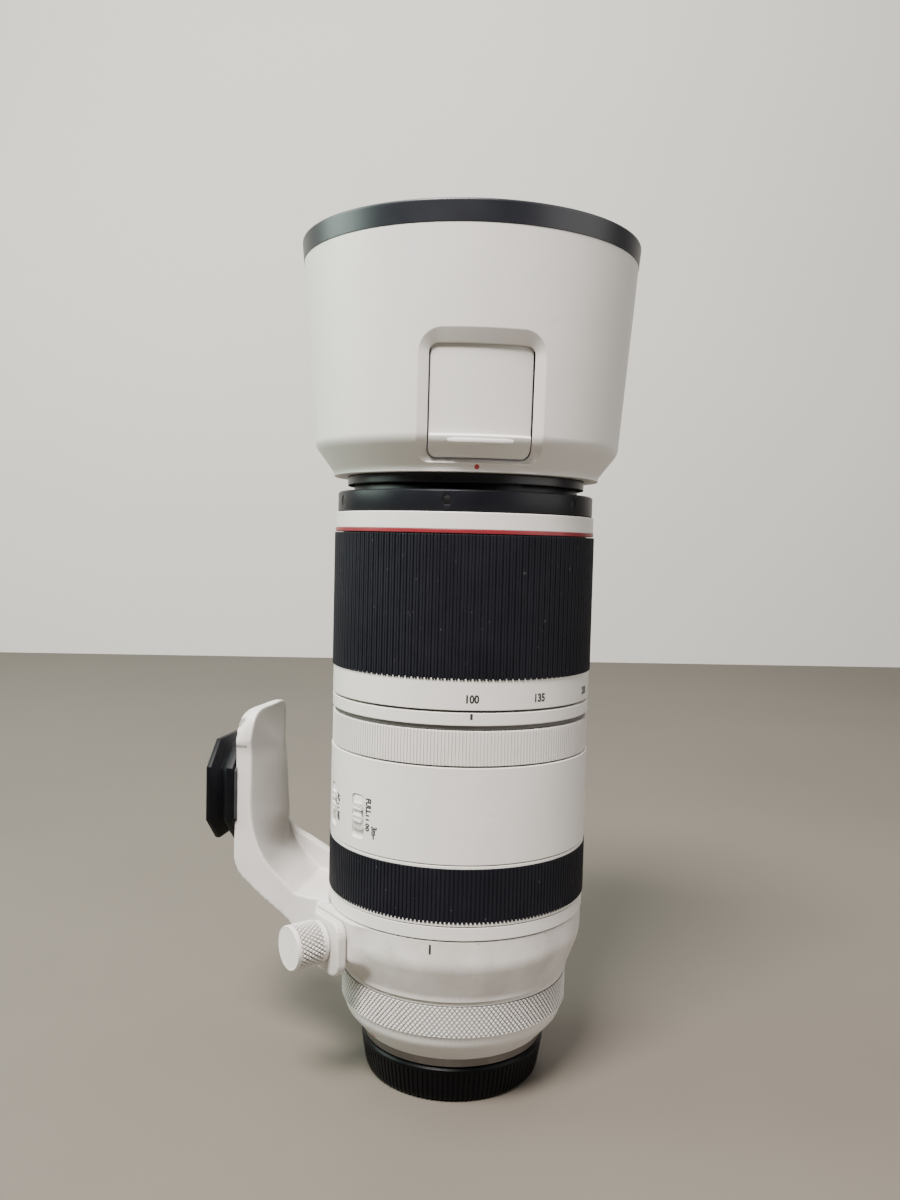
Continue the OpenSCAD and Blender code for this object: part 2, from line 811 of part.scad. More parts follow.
module tripod_foot() {
    color(white_paint) difference() {
        union() {
            at(foot_azimuth) {
                foot_plate_body();
                foot_arm();
                foot_web();
                arc(wrap_r + wrap_t * 0.85, wrap_r - over, arm_low_z + wrap_rise, z_collar_top - wrap_rise, wrap_angle);
            }
            clamp_flange();
        }
        tube(wrap_r, 0, z_collar - over, z_shoulder + over);
        tube(barrel_r + 2 * gap, 0, z_collar_top - gap, foot_top_z);
        at(knob_azimuth) translate([pad_left - gap, -flange_back, z_collar - over])
            cube([span, flange_back, z_shoulder - z_collar + over]);
        stud_hole(stud_r + stud_clear);
    }
}

module clamp_knob() {
    rim_l = knob_l * 0.13;
    neck_l = knob_l * 0.18;
    from = flange_face + gap;
    color(white_paint) at(knob_azimuth) translate([knob_shift, 0, knob_z]) {
        peg(knob_r - knob_step, from, from + neck_l);
        peg(knob_r, from + neck_l, from + knob_l - rim_l);
        peg(knob_r, from + knob_l - rim_l, from + knob_l);
        peg(stud_r, collar_in_r + gap, from);
    }
}

module plate_pad() {
    color(black_rubber) at(foot_azimuth) translate([0, 0, plate_z]) difference() {
        rotate([90, 0, 0]) translate([0, 0, foot_reach]) linear_extrude(height = pad_t) plate_outline(plate_w - 2 * pad_inset);
        peg(tripod_screw_r, foot_reach - over, foot_reach + 2 * over);
    }
}

module plate_outline(w) {
    half = w / 2;
    corner = half - plate_cut;
    polygon([
        [-half, -corner], [-corner, -half], [corner, -half], [half, -corner],
        [half, corner], [corner, half], [-corner, half], [-half, corner]
    ]);
}

// The plate's section across, with a V groove along both edges; depth runs outwards along -Y
module dovetail_bar(half) {
    low = plate_t * 0.26;
    linear_extrude(height = 2 * plate_w, center = true) polygon([
        [-half, 0], [half, 0], [half, -low], [half - dovetail_d, -low - dovetail_d],
        [half, -low - 2 * dovetail_d], [half, -plate_t], [-half, -plate_t], [-half, -low - 2 * dovetail_d],
        [-half + dovetail_d, -low - dovetail_d], [-half, -low]
    ]);
}

module foot_plate() {
    corner_half = (plate_w - plate_cut) / sqrt(2);
    color(black_plastic) at(foot_azimuth) translate([0, -foot_reach - pad_t, plate_z]) difference() {
        intersection() {
            rotate([90, 0, 0]) linear_extrude(height = plate_t) plate_outline(plate_w);
            dovetail_bar(plate_w / 2);
            rotate([0, 90, 0]) dovetail_bar(plate_w / 2);
            rotate([0, 45, 0]) dovetail_bar(corner_half);
            rotate([0, -45, 0]) dovetail_bar(corner_half);
        }
        peg(tripod_screw_r, -over, plate_t + over);
        peg(plate_screw_head_r, plate_t - plate_screw_head_h, plate_t + over);
    }
}

module plate_screw() {
    from = foot_reach - plate_screw_l;
    seat = plate_outer - plate_screw_head_h;
    color(steel) at(foot_azimuth) translate([0, 0, plate_z]) difference() {
        union() {
            peg(tripod_screw_r, from, seat);
            peg(plate_screw_head_r, seat, plate_outer);
        }
        rotate([90, 0, 0]) translate([0, 0, seat + plate_screw_head_h / 3])
            cylinder(h = plate_screw_head_h, r = hex_r, $fn = 6);
    }
}

// Focus section

module shoulder_ring() {
    color(white_paint) tube(barrel_r - fine_step, core_r, z_shoulder, z_shoulder + shoulder_h);
}

module focus_ring() {
    seat_r = barrel_r - rubber_t;
    color(white_paint) {
        tube(seat_r, core_r + gap, z_focus, z_focus_top);
        tube(barrel_r, core_r + gap, z_focus, z_focus_rubber);
        tube(barrel_r, core_r + gap, z_focus_top - focus_edge_h, z_focus_top);
    }
}

module focus_rubber() {
    color(black_rubber) tube(barrel_r + 2 * fine_step, barrel_r - rubber_t, z_focus_rubber, z_focus_top - focus_edge_h);
}

module rod_set(azimuths, r) {
    for (a = azimuths) at(a) translate([0, -rod_circle_r, rear_cell_z + rear_cell_t])
        cylinder(h = iris_z - rear_cell_z - rear_cell_t, r = r, $fn = 36);
}

module guide_rods() {
    color(steel) {
        rod_set(front_rod_azimuths, rod_r);
        rod_set(rear_rod_azimuths, rod_r);
    }
}

module focus_cell(low, azimuths) {
    color(black_plastic) difference() {
        union() {
            tube(focus_cell_r, focus_lens_r, low, low + focus_cell_h);
            for (a = azimuths) at(a) {
                translate([0, -rod_circle_r, low]) cylinder(h = focus_cell_h, r = focus_hub_r, $fn = 36);
                translate([0, 0, low + focus_cell_h / 2])
                    tab(focus_hub_r, focus_cell_h / 2, focus_cell_r - over, rod_circle_r);
            }
        }
        rod_set(azimuths, rod_r + rod_clear);
    }
}

module rear_focus_cell() {
    focus_cell(rear_focus_z, rear_rod_azimuths);
}

module rear_focus_lens() {
    color(glass_tint) lens(focus_lens_r, rear_focus_z + lens_seat / 2, lens_rim, -lens_bulge / 2, -lens_bulge * 0.6);
}

module front_focus_cell() {
    focus_cell(front_focus_z, front_rod_azimuths);
}

module front_focus_lens() {
    color(glass_tint) lens(focus_lens_r, front_focus_z + lens_seat, lens_rim, lens_bulge, lens_bulge / 2);
}

module focus_motors() {
    low = z_lip + lip_h;
    color(steel) for (a = motor_azimuths) at(a) intersection() {
        tube(collar_core_in_r, collar_core_in_r - motor_t, low, low + motor_h);
        translate([0, 0, low + motor_h / 2]) tab(motor_w, motor_h, 0, span);
    }
}

module iris_housing() {
    color(black_plastic) difference() {
        tube(guide_in_r, iris_hole_r, iris_z, iris_z + iris_h);
        tube(blade_out_r + gap, iris_hole_r - over, iris_z + iris_h / 2 - blade_t, iris_z + iris_h / 2 + blade_t);
    }
}

module iris_blades() {
    blade_angle = 360 / blade_count;
    color(steel) for (i = [0 : blade_count - 1]) at(i * blade_angle)
        arc(blade_out_r, blade_in_r, iris_z + (iris_h - blade_t) / 2, iris_z + (iris_h + blade_t) / 2, blade_angle * 0.97);
}

module stabilizer_housing() {
    color(black_plastic) {
        tube(guide_in_r, stabilizer_lens_r + stabilizer_seat, stabilizer_z, stabilizer_z + stabilizer_plate_t);
        tube(guide_in_r, stabilizer_cell_r + stabilizer_shift + gap, stabilizer_z,
             stabilizer_z + stabilizer_plate_t + gap + stabilizer_cell_h);
    }
}

module stabilizer_cell() {
    low = stabilizer_z + stabilizer_plate_t + gap;
    color(black_plastic) tube(stabilizer_cell_r, stabilizer_lens_r, low, low + stabilizer_cell_h);
}

module stabilizer_lens() {
    low = stabilizer_z + stabilizer_plate_t + gap;
    color(glass_tint) lens(stabilizer_lens_r, low + stabilizer_rim, stabilizer_cell_h - 2 * stabilizer_rim, -stabilizer_bulge, -stabilizer_bulge / 2);
}

// Body shell and switches

module switch_places() {
    for (i = [0 : switch_count - 1]) at(switch_azimuth - i * switch_pitch) translate([0, 0, z_switch]) children();
}

module body_shell() {
    color(white_paint) difference() {
        union() {
            tube(barrel_r + fine_step, barrel_r - shell_t, z_body, z_body + body_h);
            tube(barrel_r, core_r, z_body, core_top_z);
            tube(barrel_r, core_r, z_body + body_h - body_flange_h, z_body + body_h);
        }
        switch_places() {
            intersection() {
                tube(barrel_r + over, barrel_r - slot_d, -slot_h, slot_h);
                round_tab(slot_w, slot_h, slot_round_r, 0, span);
            }
            round_tab(shank_w + 2 * gap, slot_h - 2 * focus_edge_h, shank_w / 2, core_r, span);
        }
    }
}

// A switch slider drawn at height zero with its top end against the slot's top
module slider(height) {
    middle = (slot_h - height) / 2 - gap;
    plate_r = barrel_r - slider_top_d;
    translate([0, 0, middle]) {
        intersection() {
            tube(plate_r, barrel_r - slider_low, -slot_h, slot_h);
            round_tab(slider_w, height, slot_round_r, 0, span);
        }
        for (side = [-1, 1], n = [1, 2]) intersection() {
            tube(barrel_r + rib_proud, plate_r - rib_h / 2, -slot_h, slot_h);
            translate([0, 0, side * (n + 1) * rib_pitch]) tab(slider_w - rib_h, rib_h, 0, span);
        }
        intersection() {
            tube(barrel_r - slider_low + fine_step, core_r + board_thick + gap, -slot_h, slot_h);
            round_tab(shank_w, shank_h, shank_w / 3, 0, span);
        }
    }
}

module switch_at(index, height) {
    color(white_paint) at(switch_azimuth - index * switch_pitch) translate([0, 0, z_switch]) slider(height);
}

module range_switch() {
    switch_at(0, slider_h);
}

module focus_mode_switch() {
    switch_at(1, slider_h);
}

module stabilizer_switch() {
    switch_at(2, slider_h);
}

module stabilizer_mode_switch() {
    switch_at(3, long_slider_h);
}

module switch_board() {
    color(board_green) at(switch_azimuth - switch_pitch * 1.5)
        arc(core_r + board_thick, core_r, z_switch - slot_h / 2, z_switch + slot_h / 2, switch_pitch * 4);
}

// Tension ring, index band and zoom

module tension_ring() {
    color(white_paint) tube(barrel_r - 1.5 * fine_step, core_r + gap, z_tension, z_tension + tension_h);
}

module index_ring() {
    color(white_paint) {
        tube(barrel_r - shell_t / 2, core_r, z_index, z_index + groove_h);
        tube(barrel_r, core_r, z_index + groove_h, z_index_top);
    }
}

module radial_hole(azimuth, z, r, from, to) {
    at(azimuth) translate([0, 0, z]) peg(r, from, to);
}

module guide_barrel() {
    slot_low = z_pin - slot_half;
    slot_high = z_pin_top + slot_half;
    color(black_plastic) difference() {
        tube(core_r, core_in_r, core_top_z, core_end_z);
        for (a = pin_azimuths) at(a) translate([0, 0, (slot_low + slot_high) / 2])
            round_tab(2 * slot_half, slot_high - slot_low, slot_half * 0.98, core_in_r - over, core_r + over);
        for (a = drive_azimuths) at(a - zoom_angle / 2)
            arc(core_r + over, core_in_r - over, z_drive - drive_screw_r - gap, z_drive + drive_screw_r + gap,
                zoom_angle * 1.07);
    }
}

// A slot that climbs around the barrel from the pin's start to its end, with the pin's room at both
module helix_slot(z, travel, inner, outer) {
    end_angle = zoom_angle * slot_half / travel;
    width = 2 * slot_half / cos(atan(outer * zoom_angle * PI / 180 / travel));
    translate([0, 0, z - slot_half]) rotate([0, 0, -end_angle])
        linear_extrude(height = travel + 2 * slot_half, twist = -zoom_angle - 2 * end_angle,
                       slices = helix_steps, $fn = helix_fn)
            translate([-width / 2, -outer]) square([width, outer - inner]);
}

module cam_barrel() {
    wall_mid = (slide_r + slide_in_r) / 2;
    color(black_plastic) difference() {
        rotate_extrude() polygon([
            [inner_cam_in_r, z_cam], [cam_r, z_cam], [cam_r, cam_top_z], [cam_in_r, cam_top_z],
            [cam_in_r, z_cam + cam_floor_t], [inner_cam_r, z_cam + cam_floor_t],
            [inner_cam_r, inner_cam_top_z], [inner_cam_in_r, inner_cam_top_z]
        ]);
        for (a = pin_azimuths) at(a) helix_slot(z_pin, zoom_travel, wall_mid, cam_r + over);
        for (a = group_pin_azimuths) at(a) helix_slot(group_pin_z, group_travel, inner_cam_in_r - over, wall_mid);
        for (a = drive_azimuths) radial_hole(a, z_drive, drive_screw_r, cam_in_r - over, cam_r + over);
    }
}

module drive_screws() {
    color(steel) for (a = drive_azimuths)
        radial_hole(a, z_drive, drive_screw_r, cam_in_r, barrel_r - rubber_t - gap);
}

module zoom_ring() {
    color(white_paint) difference() {
        union() {
            tube(barrel_r, core_r + gap, z_zoom, z_zoom_rubber);
            tube(barrel_r - rubber_t, core_r + gap, z_zoom_rubber, z_zoom_top);
        }
        for (a = drive_azimuths) radial_hole(a, z_drive, drive_screw_r, core_r, barrel_r + over);
    }
}

module zoom_rubber() {
    color(black_rubber) tube(barrel_r + fine_step, barrel_r - rubber_t, z_zoom_rubber, z_zoom_top);
}

module inner_guide() {
    slot_low = group_pin_z - slot_half;
    slot_high = group_pin_z + group_travel + slot_half;
    color(black_plastic) difference() {
        tube(guide_r, guide_in_r, guide_foot_z, guide_top_z);
        for (a = group_pin_azimuths) at(a) translate([0, 0, (slot_low + slot_high) / 2])
            round_tab(2 * slot_half, slot_high - slot_low, slot_half * 0.98, guide_in_r - over, guide_r + over);
    }
}

module zoom_cell() {
    color(black_plastic) {
        tube(group_r, group_lens_r, z_group, z_group + group_h);
        for (a = group_pin_azimuths) radial_hole(a, group_pin_z, pin_r, group_r - over, inner_cam_r - gap / 2);
    }
}

module zoom_lenses() {
    color(glass_tint) {
        lens(group_lens_r, z_group + lens_seat, lens_rim, -lens_bulge * 0.7, -lens_bulge * 0.6);
        lens(group_lens_r, z_group + group_h / 2 + lens_seat, lens_rim, -lens_bulge * 0.7, lens_bulge);
    }
}

module red_ring() {
    color(red_paint) tube(barrel_r + fine_step / 2, core_r, z_red, z_name);
}

module name_ring() {
    color(white_paint) {
        tube(barrel_r, core_r, z_name, z_name_top);
        tube(barrel_r, slide_r + gap, core_end_z, z_name_top);
    }
}

// Front barrel

module extension_tube() {
    color(white_paint) difference() {
        tube(slide_r, slide_in_r, z_slide, z_neck - bezel_roof);
        for (a = pin_azimuths) radial_hole(a, z_pin, pin_r, slide_in_r - over, slide_r + over);
    }
}

module follower_pins() {
    color(brass) for (a = pin_azimuths) radial_hole(a, z_pin, pin_r, slide_in_r, core_r - gap / 2);
}

module front_cell() {
    low = z_neck - bezel_roof - front_cell_h;
    color(black_plastic) {
        tube(slide_in_r, front_lens_r, low, low + front_cell_h);
        tube(slide_in_r, front_lens_r - lens_seat, low, low + front_cell_floor_t);
    }
}

module front_lenses() {
    low = z_neck - bezel_roof - front_cell_h;
    color(glass_tint) {
        lens(front_lens_r, low + lens_bulge + front_cell_floor_t, lens_rim, lens_bulge, lens_bulge);
        lens(front_lens_r, low + front_cell_h * 0.4, lens_rim, -lens_bulge, lens_bulge);
        lens(front_lens_r, low + front_cell_h * 0.66, lens_rim * 1.3, lens_bulge * 2, -lens_bulge);
    }
}

module bezel_screw_set(to) {
    for (i = [0 : bezel_screw_count - 1]) at(bezel_screw_azimuth + i * 360 / bezel_screw_count)
        translate([0, 0, z_bezel + bezel_h / 2]) {
            peg(bezel_screw_head_r, bezel_seat_r, to);
            peg(bezel_screw_r, slide_r, bezel_seat_r + gap);
        }
}

module front_bezel() {
    roof_z = z_neck - bezel_roof;
    color(black_plastic) {
        difference() {
            rotate_extrude() polygon([
                [slide_r, z_bezel], [bezel_r, z_bezel], [bezel_r, z_neck - bezel_chamfer],
                [bezel_r - bezel_chamfer, z_neck], [neck_r, z_neck], [neck_r, z_front], [filter_r, z_front],
                [filter_r, roof_z], [slide_r, roof_z]
            ]);
            bezel_screw_set(bezel_r + over);
        }
        for (i = [0 : claw_count - 1]) at(i * 360 / claw_count)
            arc(neck_r + neck_claw, neck_r - over / 2, z_neck_claw, z_neck_claw + hood_tab_t, hood_tab_angle);
    }
}

module bezel_screws() {
    color(steel) bezel_screw_set(bezel_r - gap / 2);
}

// Hood

function chamfer_r(z) = hood_base_r + (z - z_hood_edge) * chamfer_slope;
function cone_r(z) = hood_bend_r + (z - z_bend) * cone_slope;
function mirrored(point) = [-point[0], point[1]];
function hood_r(z) = z < z_bend ? chamfer_r(z) : cone_r(z);

// A closed band of the hood's wall between two depths below its outer surface
module hood_band(shallow, deep, low, high) {
    rotate_extrude() polygon([
        [hood_r(low) - shallow, low], [hood_bend_r - shallow, z_bend], [hood_r(high) - shallow, high],
        [hood_r(high) - deep, high], [hood_bend_r - deep, z_bend], [hood_r(low) - deep, low]
    ]);
}

module window_prism(w, low, high, r) {
    translate([0, 0, (low + high) / 2]) round_tab(w, high - low, r, hood_base_r / 2, span);
}

// The bevelled recess around the window. Each bevel starts at a thin land on the window's edge,
// runs outwards to the hood's surface, and is drawn past both.
module window_recess() {
    inner = skin_t - window_land;
    low_start = [hood_r(z_window) - inner, z_window];
    low_end = [hood_r(z_window - bevel_low_h), z_window - bevel_low_h];
    top_start = [hood_r(z_window_top) - inner, z_window_top];
    top_end = [hood_r(z_window_top + bevel_h), z_window_top + bevel_h];
    side_y = hood_bend_r - sqrt(pow(hood_bend_r - inner, 2) - pow(window_w / 2, 2));
    side_start = [window_w / 2, side_y];
    side_run = [bevel_w, -side_y * 0.1];
    intersection() {
        rotate_extrude() polygon([
            low_start - (low_end - low_start) / 2, [hood_bend_r - inner - over, z_bend],
            top_start - (top_end - top_start) / 4, 2 * top_end - top_start,
            [hood_mouth_r + bevel_w, z_window_top + bevel_h], [hood_mouth_r + bevel_w, z_window], 2 * low_end - low_start
        ]);
        translate([0, -hood_bend_r, z_bend]) rotate([cone_tilt, 0, 0])
            linear_extrude(height = 2 * window_h, center = true) polygon([
                mirrored(side_start - side_run / 4), mirrored(side_start + 2 * side_run),
                [-window_w, -hood_bend_r], [window_w, -hood_bend_r],
                side_start + 2 * side_run, side_start - side_run / 4
            ]);
    }
}

// Where the lock button sits: depth runs outwards from the hood's chamfer
module button_place() {
    at(button_azimuth) translate([0, -chamfer_r(button_z), button_z]) rotate([chamfer_tilt, 0, 0]) children();
}

module hood_shell() {
    floor_r = chamfer_r(z_hood + skin_t) - skin_t;
    color(white_paint) difference() {
        rotate_extrude() polygon([
            [skirt_r, z_hood], [hood_base_r, z_hood], [hood_base_r, z_hood_edge], [hood_bend_r, z_bend],
            [hood_mouth_r, z_rim], [hood_mouth_r - skin_t, z_rim], [hood_bend_r - skin_t, z_bend],
            [floor_r, z_hood + skin_t], [skirt_r, z_hood + skin_t]
        ]);
        window_recess();
        window_prism(window_w, z_window, z_window_top, window_round_r);
        button_place() round_tab(button_w + 2 * gap, button_h + 2 * gap, button_round_r, -2 * button_t, over);
    }
}

module hood_rim() {
    color(black_rubber) rotate_extrude() polygon([
        [hood_mouth_r + rim_proud / 2, z_rim], [hood_mouth_r + rim_proud, z_top],
        [hood_mouth_r - skin_t - liner_t, z_top], [hood_mouth_r - skin_t - liner_t, z_rim]
    ]);
}

module hood_liner() {
    deep = skin_t + liner_t;
    track_deep = skin_t + pocket_d;
    pocket_floor = button_t + button_travel + gap;
    floor_r = chamfer_r(z_hood + skin_t) - skin_t;
    color(black_plastic) difference() {
        union() {
            rotate_extrude() polygon([
                [skirt_in_r, z_skirt], [skirt_r, z_skirt], [skirt_r, z_hood + skin_t], [floor_r, z_hood + skin_t],
                [hood_bend_r - skin_t, z_bend], [hood_mouth_r - skin_t, z_rim], [hood_mouth_r - deep, z_rim],
                [hood_bend_r - deep, z_bend], [floor_r - liner_t * 0.4, z_hood + deep], [skirt_in_r, z_hood + deep]
            ]);
            for (i = [0 : claw_count - 1]) at(i * 360 / claw_count)
                arc(skirt_in_r + skirt_t / 2, neck_r + gap, z_hood_tab, z_hood_tab + hood_tab_t, hood_tab_angle);
            intersection() {
                hood_band(skin_t, track_deep + liner_t, z_window, track_top_z + track_wall);
                tab(track_w + 2 * track_wall, 2 * z_rim, 0, span);
            }
            button_place() round_tab(button_w + 2 * (gap + track_wall), button_h + 2 * (gap + track_wall),
                                     button_round_r, -pocket_floor - liner_t, -skin_t);
        }
        intersection() {
            hood_band(skin_t - over, track_deep, z_window, track_top_z);
            tab(track_w, 2 * z_rim, 0, span);
        }
        window_prism(window_w, z_window, z_window_top - door_margin, window_round_r);
        button_place() round_tab(button_w + 2 * gap, button_h + 2 * gap, button_round_r, -pocket_floor, over);
    }
}

module hood_door() {
    shallow = skin_t + gap;
    deep = shallow + door_t;
    low = z_window + door_edge;
    color(white_paint) {
        intersection() {
            hood_band(shallow, deep, low, z_window_top + door_margin);
            union() {
                translate([0, 0, z_rim]) tab(window_w + 2 * door_margin, 2 * (z_rim - z_bend), 0, span);
                tab(window_w - 2 * door_edge, 2 * z_rim, 0, span);
            }
        }
        intersection() {
            rotate_extrude() polygon([
                [hood_r(low) - lip_proud_d, low], [hood_r(lip_top) - lip_proud_d, lip_top],
                [hood_r(lip_top) - shallow - door_t / 2, lip_top], [hood_r(low) - shallow - door_t / 2, low]
            ]);
            window_prism(window_w - 2 * door_edge, low, z_bend + 2 * window_round_r, window_round_r);
        }
        intersection() {
            rotate_extrude() polygon([
                [hood_r(lip_top) + ridge_proud, lip_top - ridge_h],
                [hood_r(lip_top) + ridge_proud, lip_top - 2 * ridge_h],
                [hood_r(lip_top) - shallow, lip_top - 2 * ridge_h], [hood_r(lip_top) - shallow, lip_top - ridge_h]
            ]);
            tab(ridge_w, 2 * z_rim, 0, span);
        }
    }
}

module hood_button() {
    color(white_paint) button_place() round_tab(button_w, button_h, button_round_r, -button_t, button_proud);
}

rear_cap();
mount_ring();
mount_screws();
contact_block();
contact_pins();
rear_barrel();
control_ring();
core_barrel();
main_board();
rear_cell();
rear_lenses();
tripod_ring();
tripod_foot();
clamp_knob();
plate_pad();
foot_plate();
plate_screw();
shoulder_ring();
focus_ring();
focus_rubber();
guide_rods();
focus_motors();
rear_focus_cell();
rear_focus_lens();
front_focus_cell();
front_focus_lens();
iris_housing();
iris_blades();
stabilizer_housing();
stabilizer_cell();
stabilizer_lens();
body_shell();
switch_board();
range_switch();
focus_mode_switch();
stabilizer_switch();
stabilizer_mode_switch();
tension_ring();
index_ring();
guide_barrel();
inner_guide();
zoom_cell();
zoom_lenses();
zoom_ring();
zoom_rubber();
cam_barrel();
drive_screws();
red_ring();
name_ring();
extension_tube();
follower_pins();
front_cell();
front_lenses();
front_bezel();
bezel_screws();
hood_shell();
hood_rim();
hood_liner();
hood_door();
hood_button();
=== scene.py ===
from math import atan2, cos, pi, radians, sin, sqrt, tan

import bmesh
import bpy
from mathutils import Matrix, Vector


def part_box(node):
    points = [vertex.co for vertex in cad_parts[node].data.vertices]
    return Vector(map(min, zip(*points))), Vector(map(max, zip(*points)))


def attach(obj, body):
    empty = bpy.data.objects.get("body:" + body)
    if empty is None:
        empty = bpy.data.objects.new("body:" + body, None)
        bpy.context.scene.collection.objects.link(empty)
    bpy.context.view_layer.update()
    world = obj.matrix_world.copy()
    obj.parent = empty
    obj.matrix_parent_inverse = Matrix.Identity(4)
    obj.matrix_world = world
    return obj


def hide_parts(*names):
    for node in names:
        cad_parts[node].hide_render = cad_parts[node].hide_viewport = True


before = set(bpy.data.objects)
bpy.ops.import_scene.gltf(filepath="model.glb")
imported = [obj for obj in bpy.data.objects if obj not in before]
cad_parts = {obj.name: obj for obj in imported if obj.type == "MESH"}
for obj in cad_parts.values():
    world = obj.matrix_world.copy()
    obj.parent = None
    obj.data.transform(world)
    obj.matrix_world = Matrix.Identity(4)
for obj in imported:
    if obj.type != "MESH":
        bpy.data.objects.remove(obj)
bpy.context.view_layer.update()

mm = 0.001

# Studio
# A pale floor, an even pale surround and large soft lamps. The camera stands where the photograph was
# taken: in front of the zoom index line, a little left of it and level with the top of the zoom ring.
camera_place = Vector((-31.0, -377.3, 194.9)) * mm
camera_heading = radians(3.99)
camera_pitch = radians(-3.29)
camera_roll = radians(1.43)
camera_lens = 30.87
camera_sensor = 36


def placed(name, data):
    made = bpy.data.objects.new(name, data)
    bpy.context.scene.collection.objects.link(made)
    return made


level_forward = Vector((sin(camera_heading), cos(camera_heading), 0))
forward = level_forward * cos(camera_pitch) + Vector((0, 0, sin(camera_pitch)))
level_right = Vector((cos(camera_heading), -sin(camera_heading), 0))
level_up = level_right.cross(forward)
camera_right = level_right * cos(camera_roll) + level_up * sin(camera_roll)
camera_up = level_up * cos(camera_roll) - level_right * sin(camera_roll)
camera_axes = Matrix((camera_right, camera_up, -forward)).transposed().to_4x4()
camera_data = bpy.data.cameras.new("camera")
camera_data.lens = camera_lens
camera_data.sensor_width = camera_sensor
camera_data.clip_start = 0.01
camera = placed("camera", camera_data)
camera.matrix_world = Matrix.Translation(camera_place) @ camera_axes
bpy.context.scene.camera = camera


def area_lamp(name, place, target, width, height, power, colour):
    data = bpy.data.lights.new(name, "AREA")
    data.shape = "RECTANGLE"
    data.size = width
    data.size_y = height
    data.energy = power
    data.color = colour
    lamp = placed(name, data)
    lamp.location = place
    lamp.rotation_euler = (Vector(target) - Vector(place)).to_track_quat("-Z", "Y").to_euler()
    lamp.visible_camera = False


floor_half = 2.6
wall_y = 1.3
wall_top = 2.2
lens_middle = (0, 0, 0.18)
wall_middle = (0, wall_y, 0.6)
area_lamp("window_light", (-1.3, 0.15, 0.85), lens_middle, 0.8, 1.0, 24, (0.80, 1.0, 0.88))
area_lamp("room_light", (-0.36, -0.64, 1.32), lens_middle, 0.5, 0.4, 64, (1.0, 0.955, 0.93))
area_lamp("right_light", (1.2, -0.55, 0.7), lens_middle, 1.3, 1.5, 11.5, (1.0, 0.97, 0.94))
area_lamp("wall_light", (0.0, 0.35, 1.75), wall_middle, 1.8, 0.8, 16, (1.0, 0.98, 0.95))


def feed(node, **sockets):
    """Gives a node's inputs their values, or links them to the outputs of other nodes."""
    for name, value in sockets.items():
        socket = node.inputs[name.replace("_", " ")]
        if isinstance(value, bpy.types.NodeSocket):
            node.id_data.links.new(value, socket)
        else:
            socket.default_value = value
    return node


def node_in(tree, kind, **sockets):
    return feed(tree.nodes.new(kind), **sockets)


world = bpy.data.worlds.new("surround")
world.use_nodes = True
feed(world.node_tree.nodes["Background"], Color=(0.80, 0.82, 0.86, 1), Strength=0.03)
bpy.context.scene.world = world


def math_in(tree, operation, first, second):
    """The result of a sum on two values, each a number or another node's output."""
    node = tree.nodes.new("ShaderNodeMath")
    node.operation = operation
    for socket, value in zip(node.inputs, (first, second)):
        if isinstance(value, bpy.types.NodeSocket):
            tree.links.new(value, socket)
        else:
            socket.default_value = value
    return node.outputs[0]


def mixed(tree, share, first, second):
    """The colour between two others, each a colour or another node's output."""
    mix = tree.nodes.new("ShaderNodeMix")
    mix.data_type = "RGBA"
    feed(mix, Factor=share, A=first, B=second)
    return mix.outputs["Result"]


# Three noises on the object's own coordinates, shared by all finishes. Grain is the fine tooth of paint,
# rubber or moulded plastic, Patches is broad unevenness from handling, and Specks are rare dots of dirt.
grain_group = bpy.data.node_groups.new("grain_and_patches", "ShaderNodeTree")
for socket_name, default in (("Grain Size", 0.3), ("Patch Size", 20.0)):
    socket = grain_group.interface.new_socket(socket_name, in_out="INPUT", socket_type="NodeSocketFloat")
    socket.default_value = default
for socket_name in ("Grain", "Patches", "Specks"):
    grain_group.interface.new_socket(socket_name, in_out="OUTPUT", socket_type="NodeSocketFloat")
group_in = grain_group.nodes.new("NodeGroupInput")
group_out = grain_group.nodes.new("NodeGroupOutput")
place_of_point = grain_group.nodes.new("ShaderNodeTexCoord").outputs["Object"]
per_grain = math_in(grain_group, "DIVIDE", 1 / mm, group_in.outputs["Grain Size"])
per_patch = math_in(grain_group, "DIVIDE", 1 / mm, group_in.outputs["Patch Size"])
fine = node_in(grain_group, "ShaderNodeTexNoise", Vector=place_of_point, Scale=per_grain, Detail=2)
broad = node_in(grain_group, "ShaderNodeTexNoise", Vector=place_of_point, Scale=per_patch, Detail=5,
                Roughness=0.6)
speck_noise = node_in(grain_group, "ShaderNodeTexNoise", Vector=place_of_point, Scale=700.0, Detail=1)
speck_ramp = node_in(grain_group, "ShaderNodeMapRange", Value=speck_noise.outputs["Fac"],
                     From_Min=0.74, From_Max=0.80)
feed(group_out, Grain=fine.outputs["Fac"], Patches=broad.outputs["Fac"],
     Specks=speck_ramp.outputs["Result"])


def grain_of(tree, **sizes):
    grain = tree.nodes.new("ShaderNodeGroup")
    grain.node_tree = grain_group
    return feed(grain, **sizes)


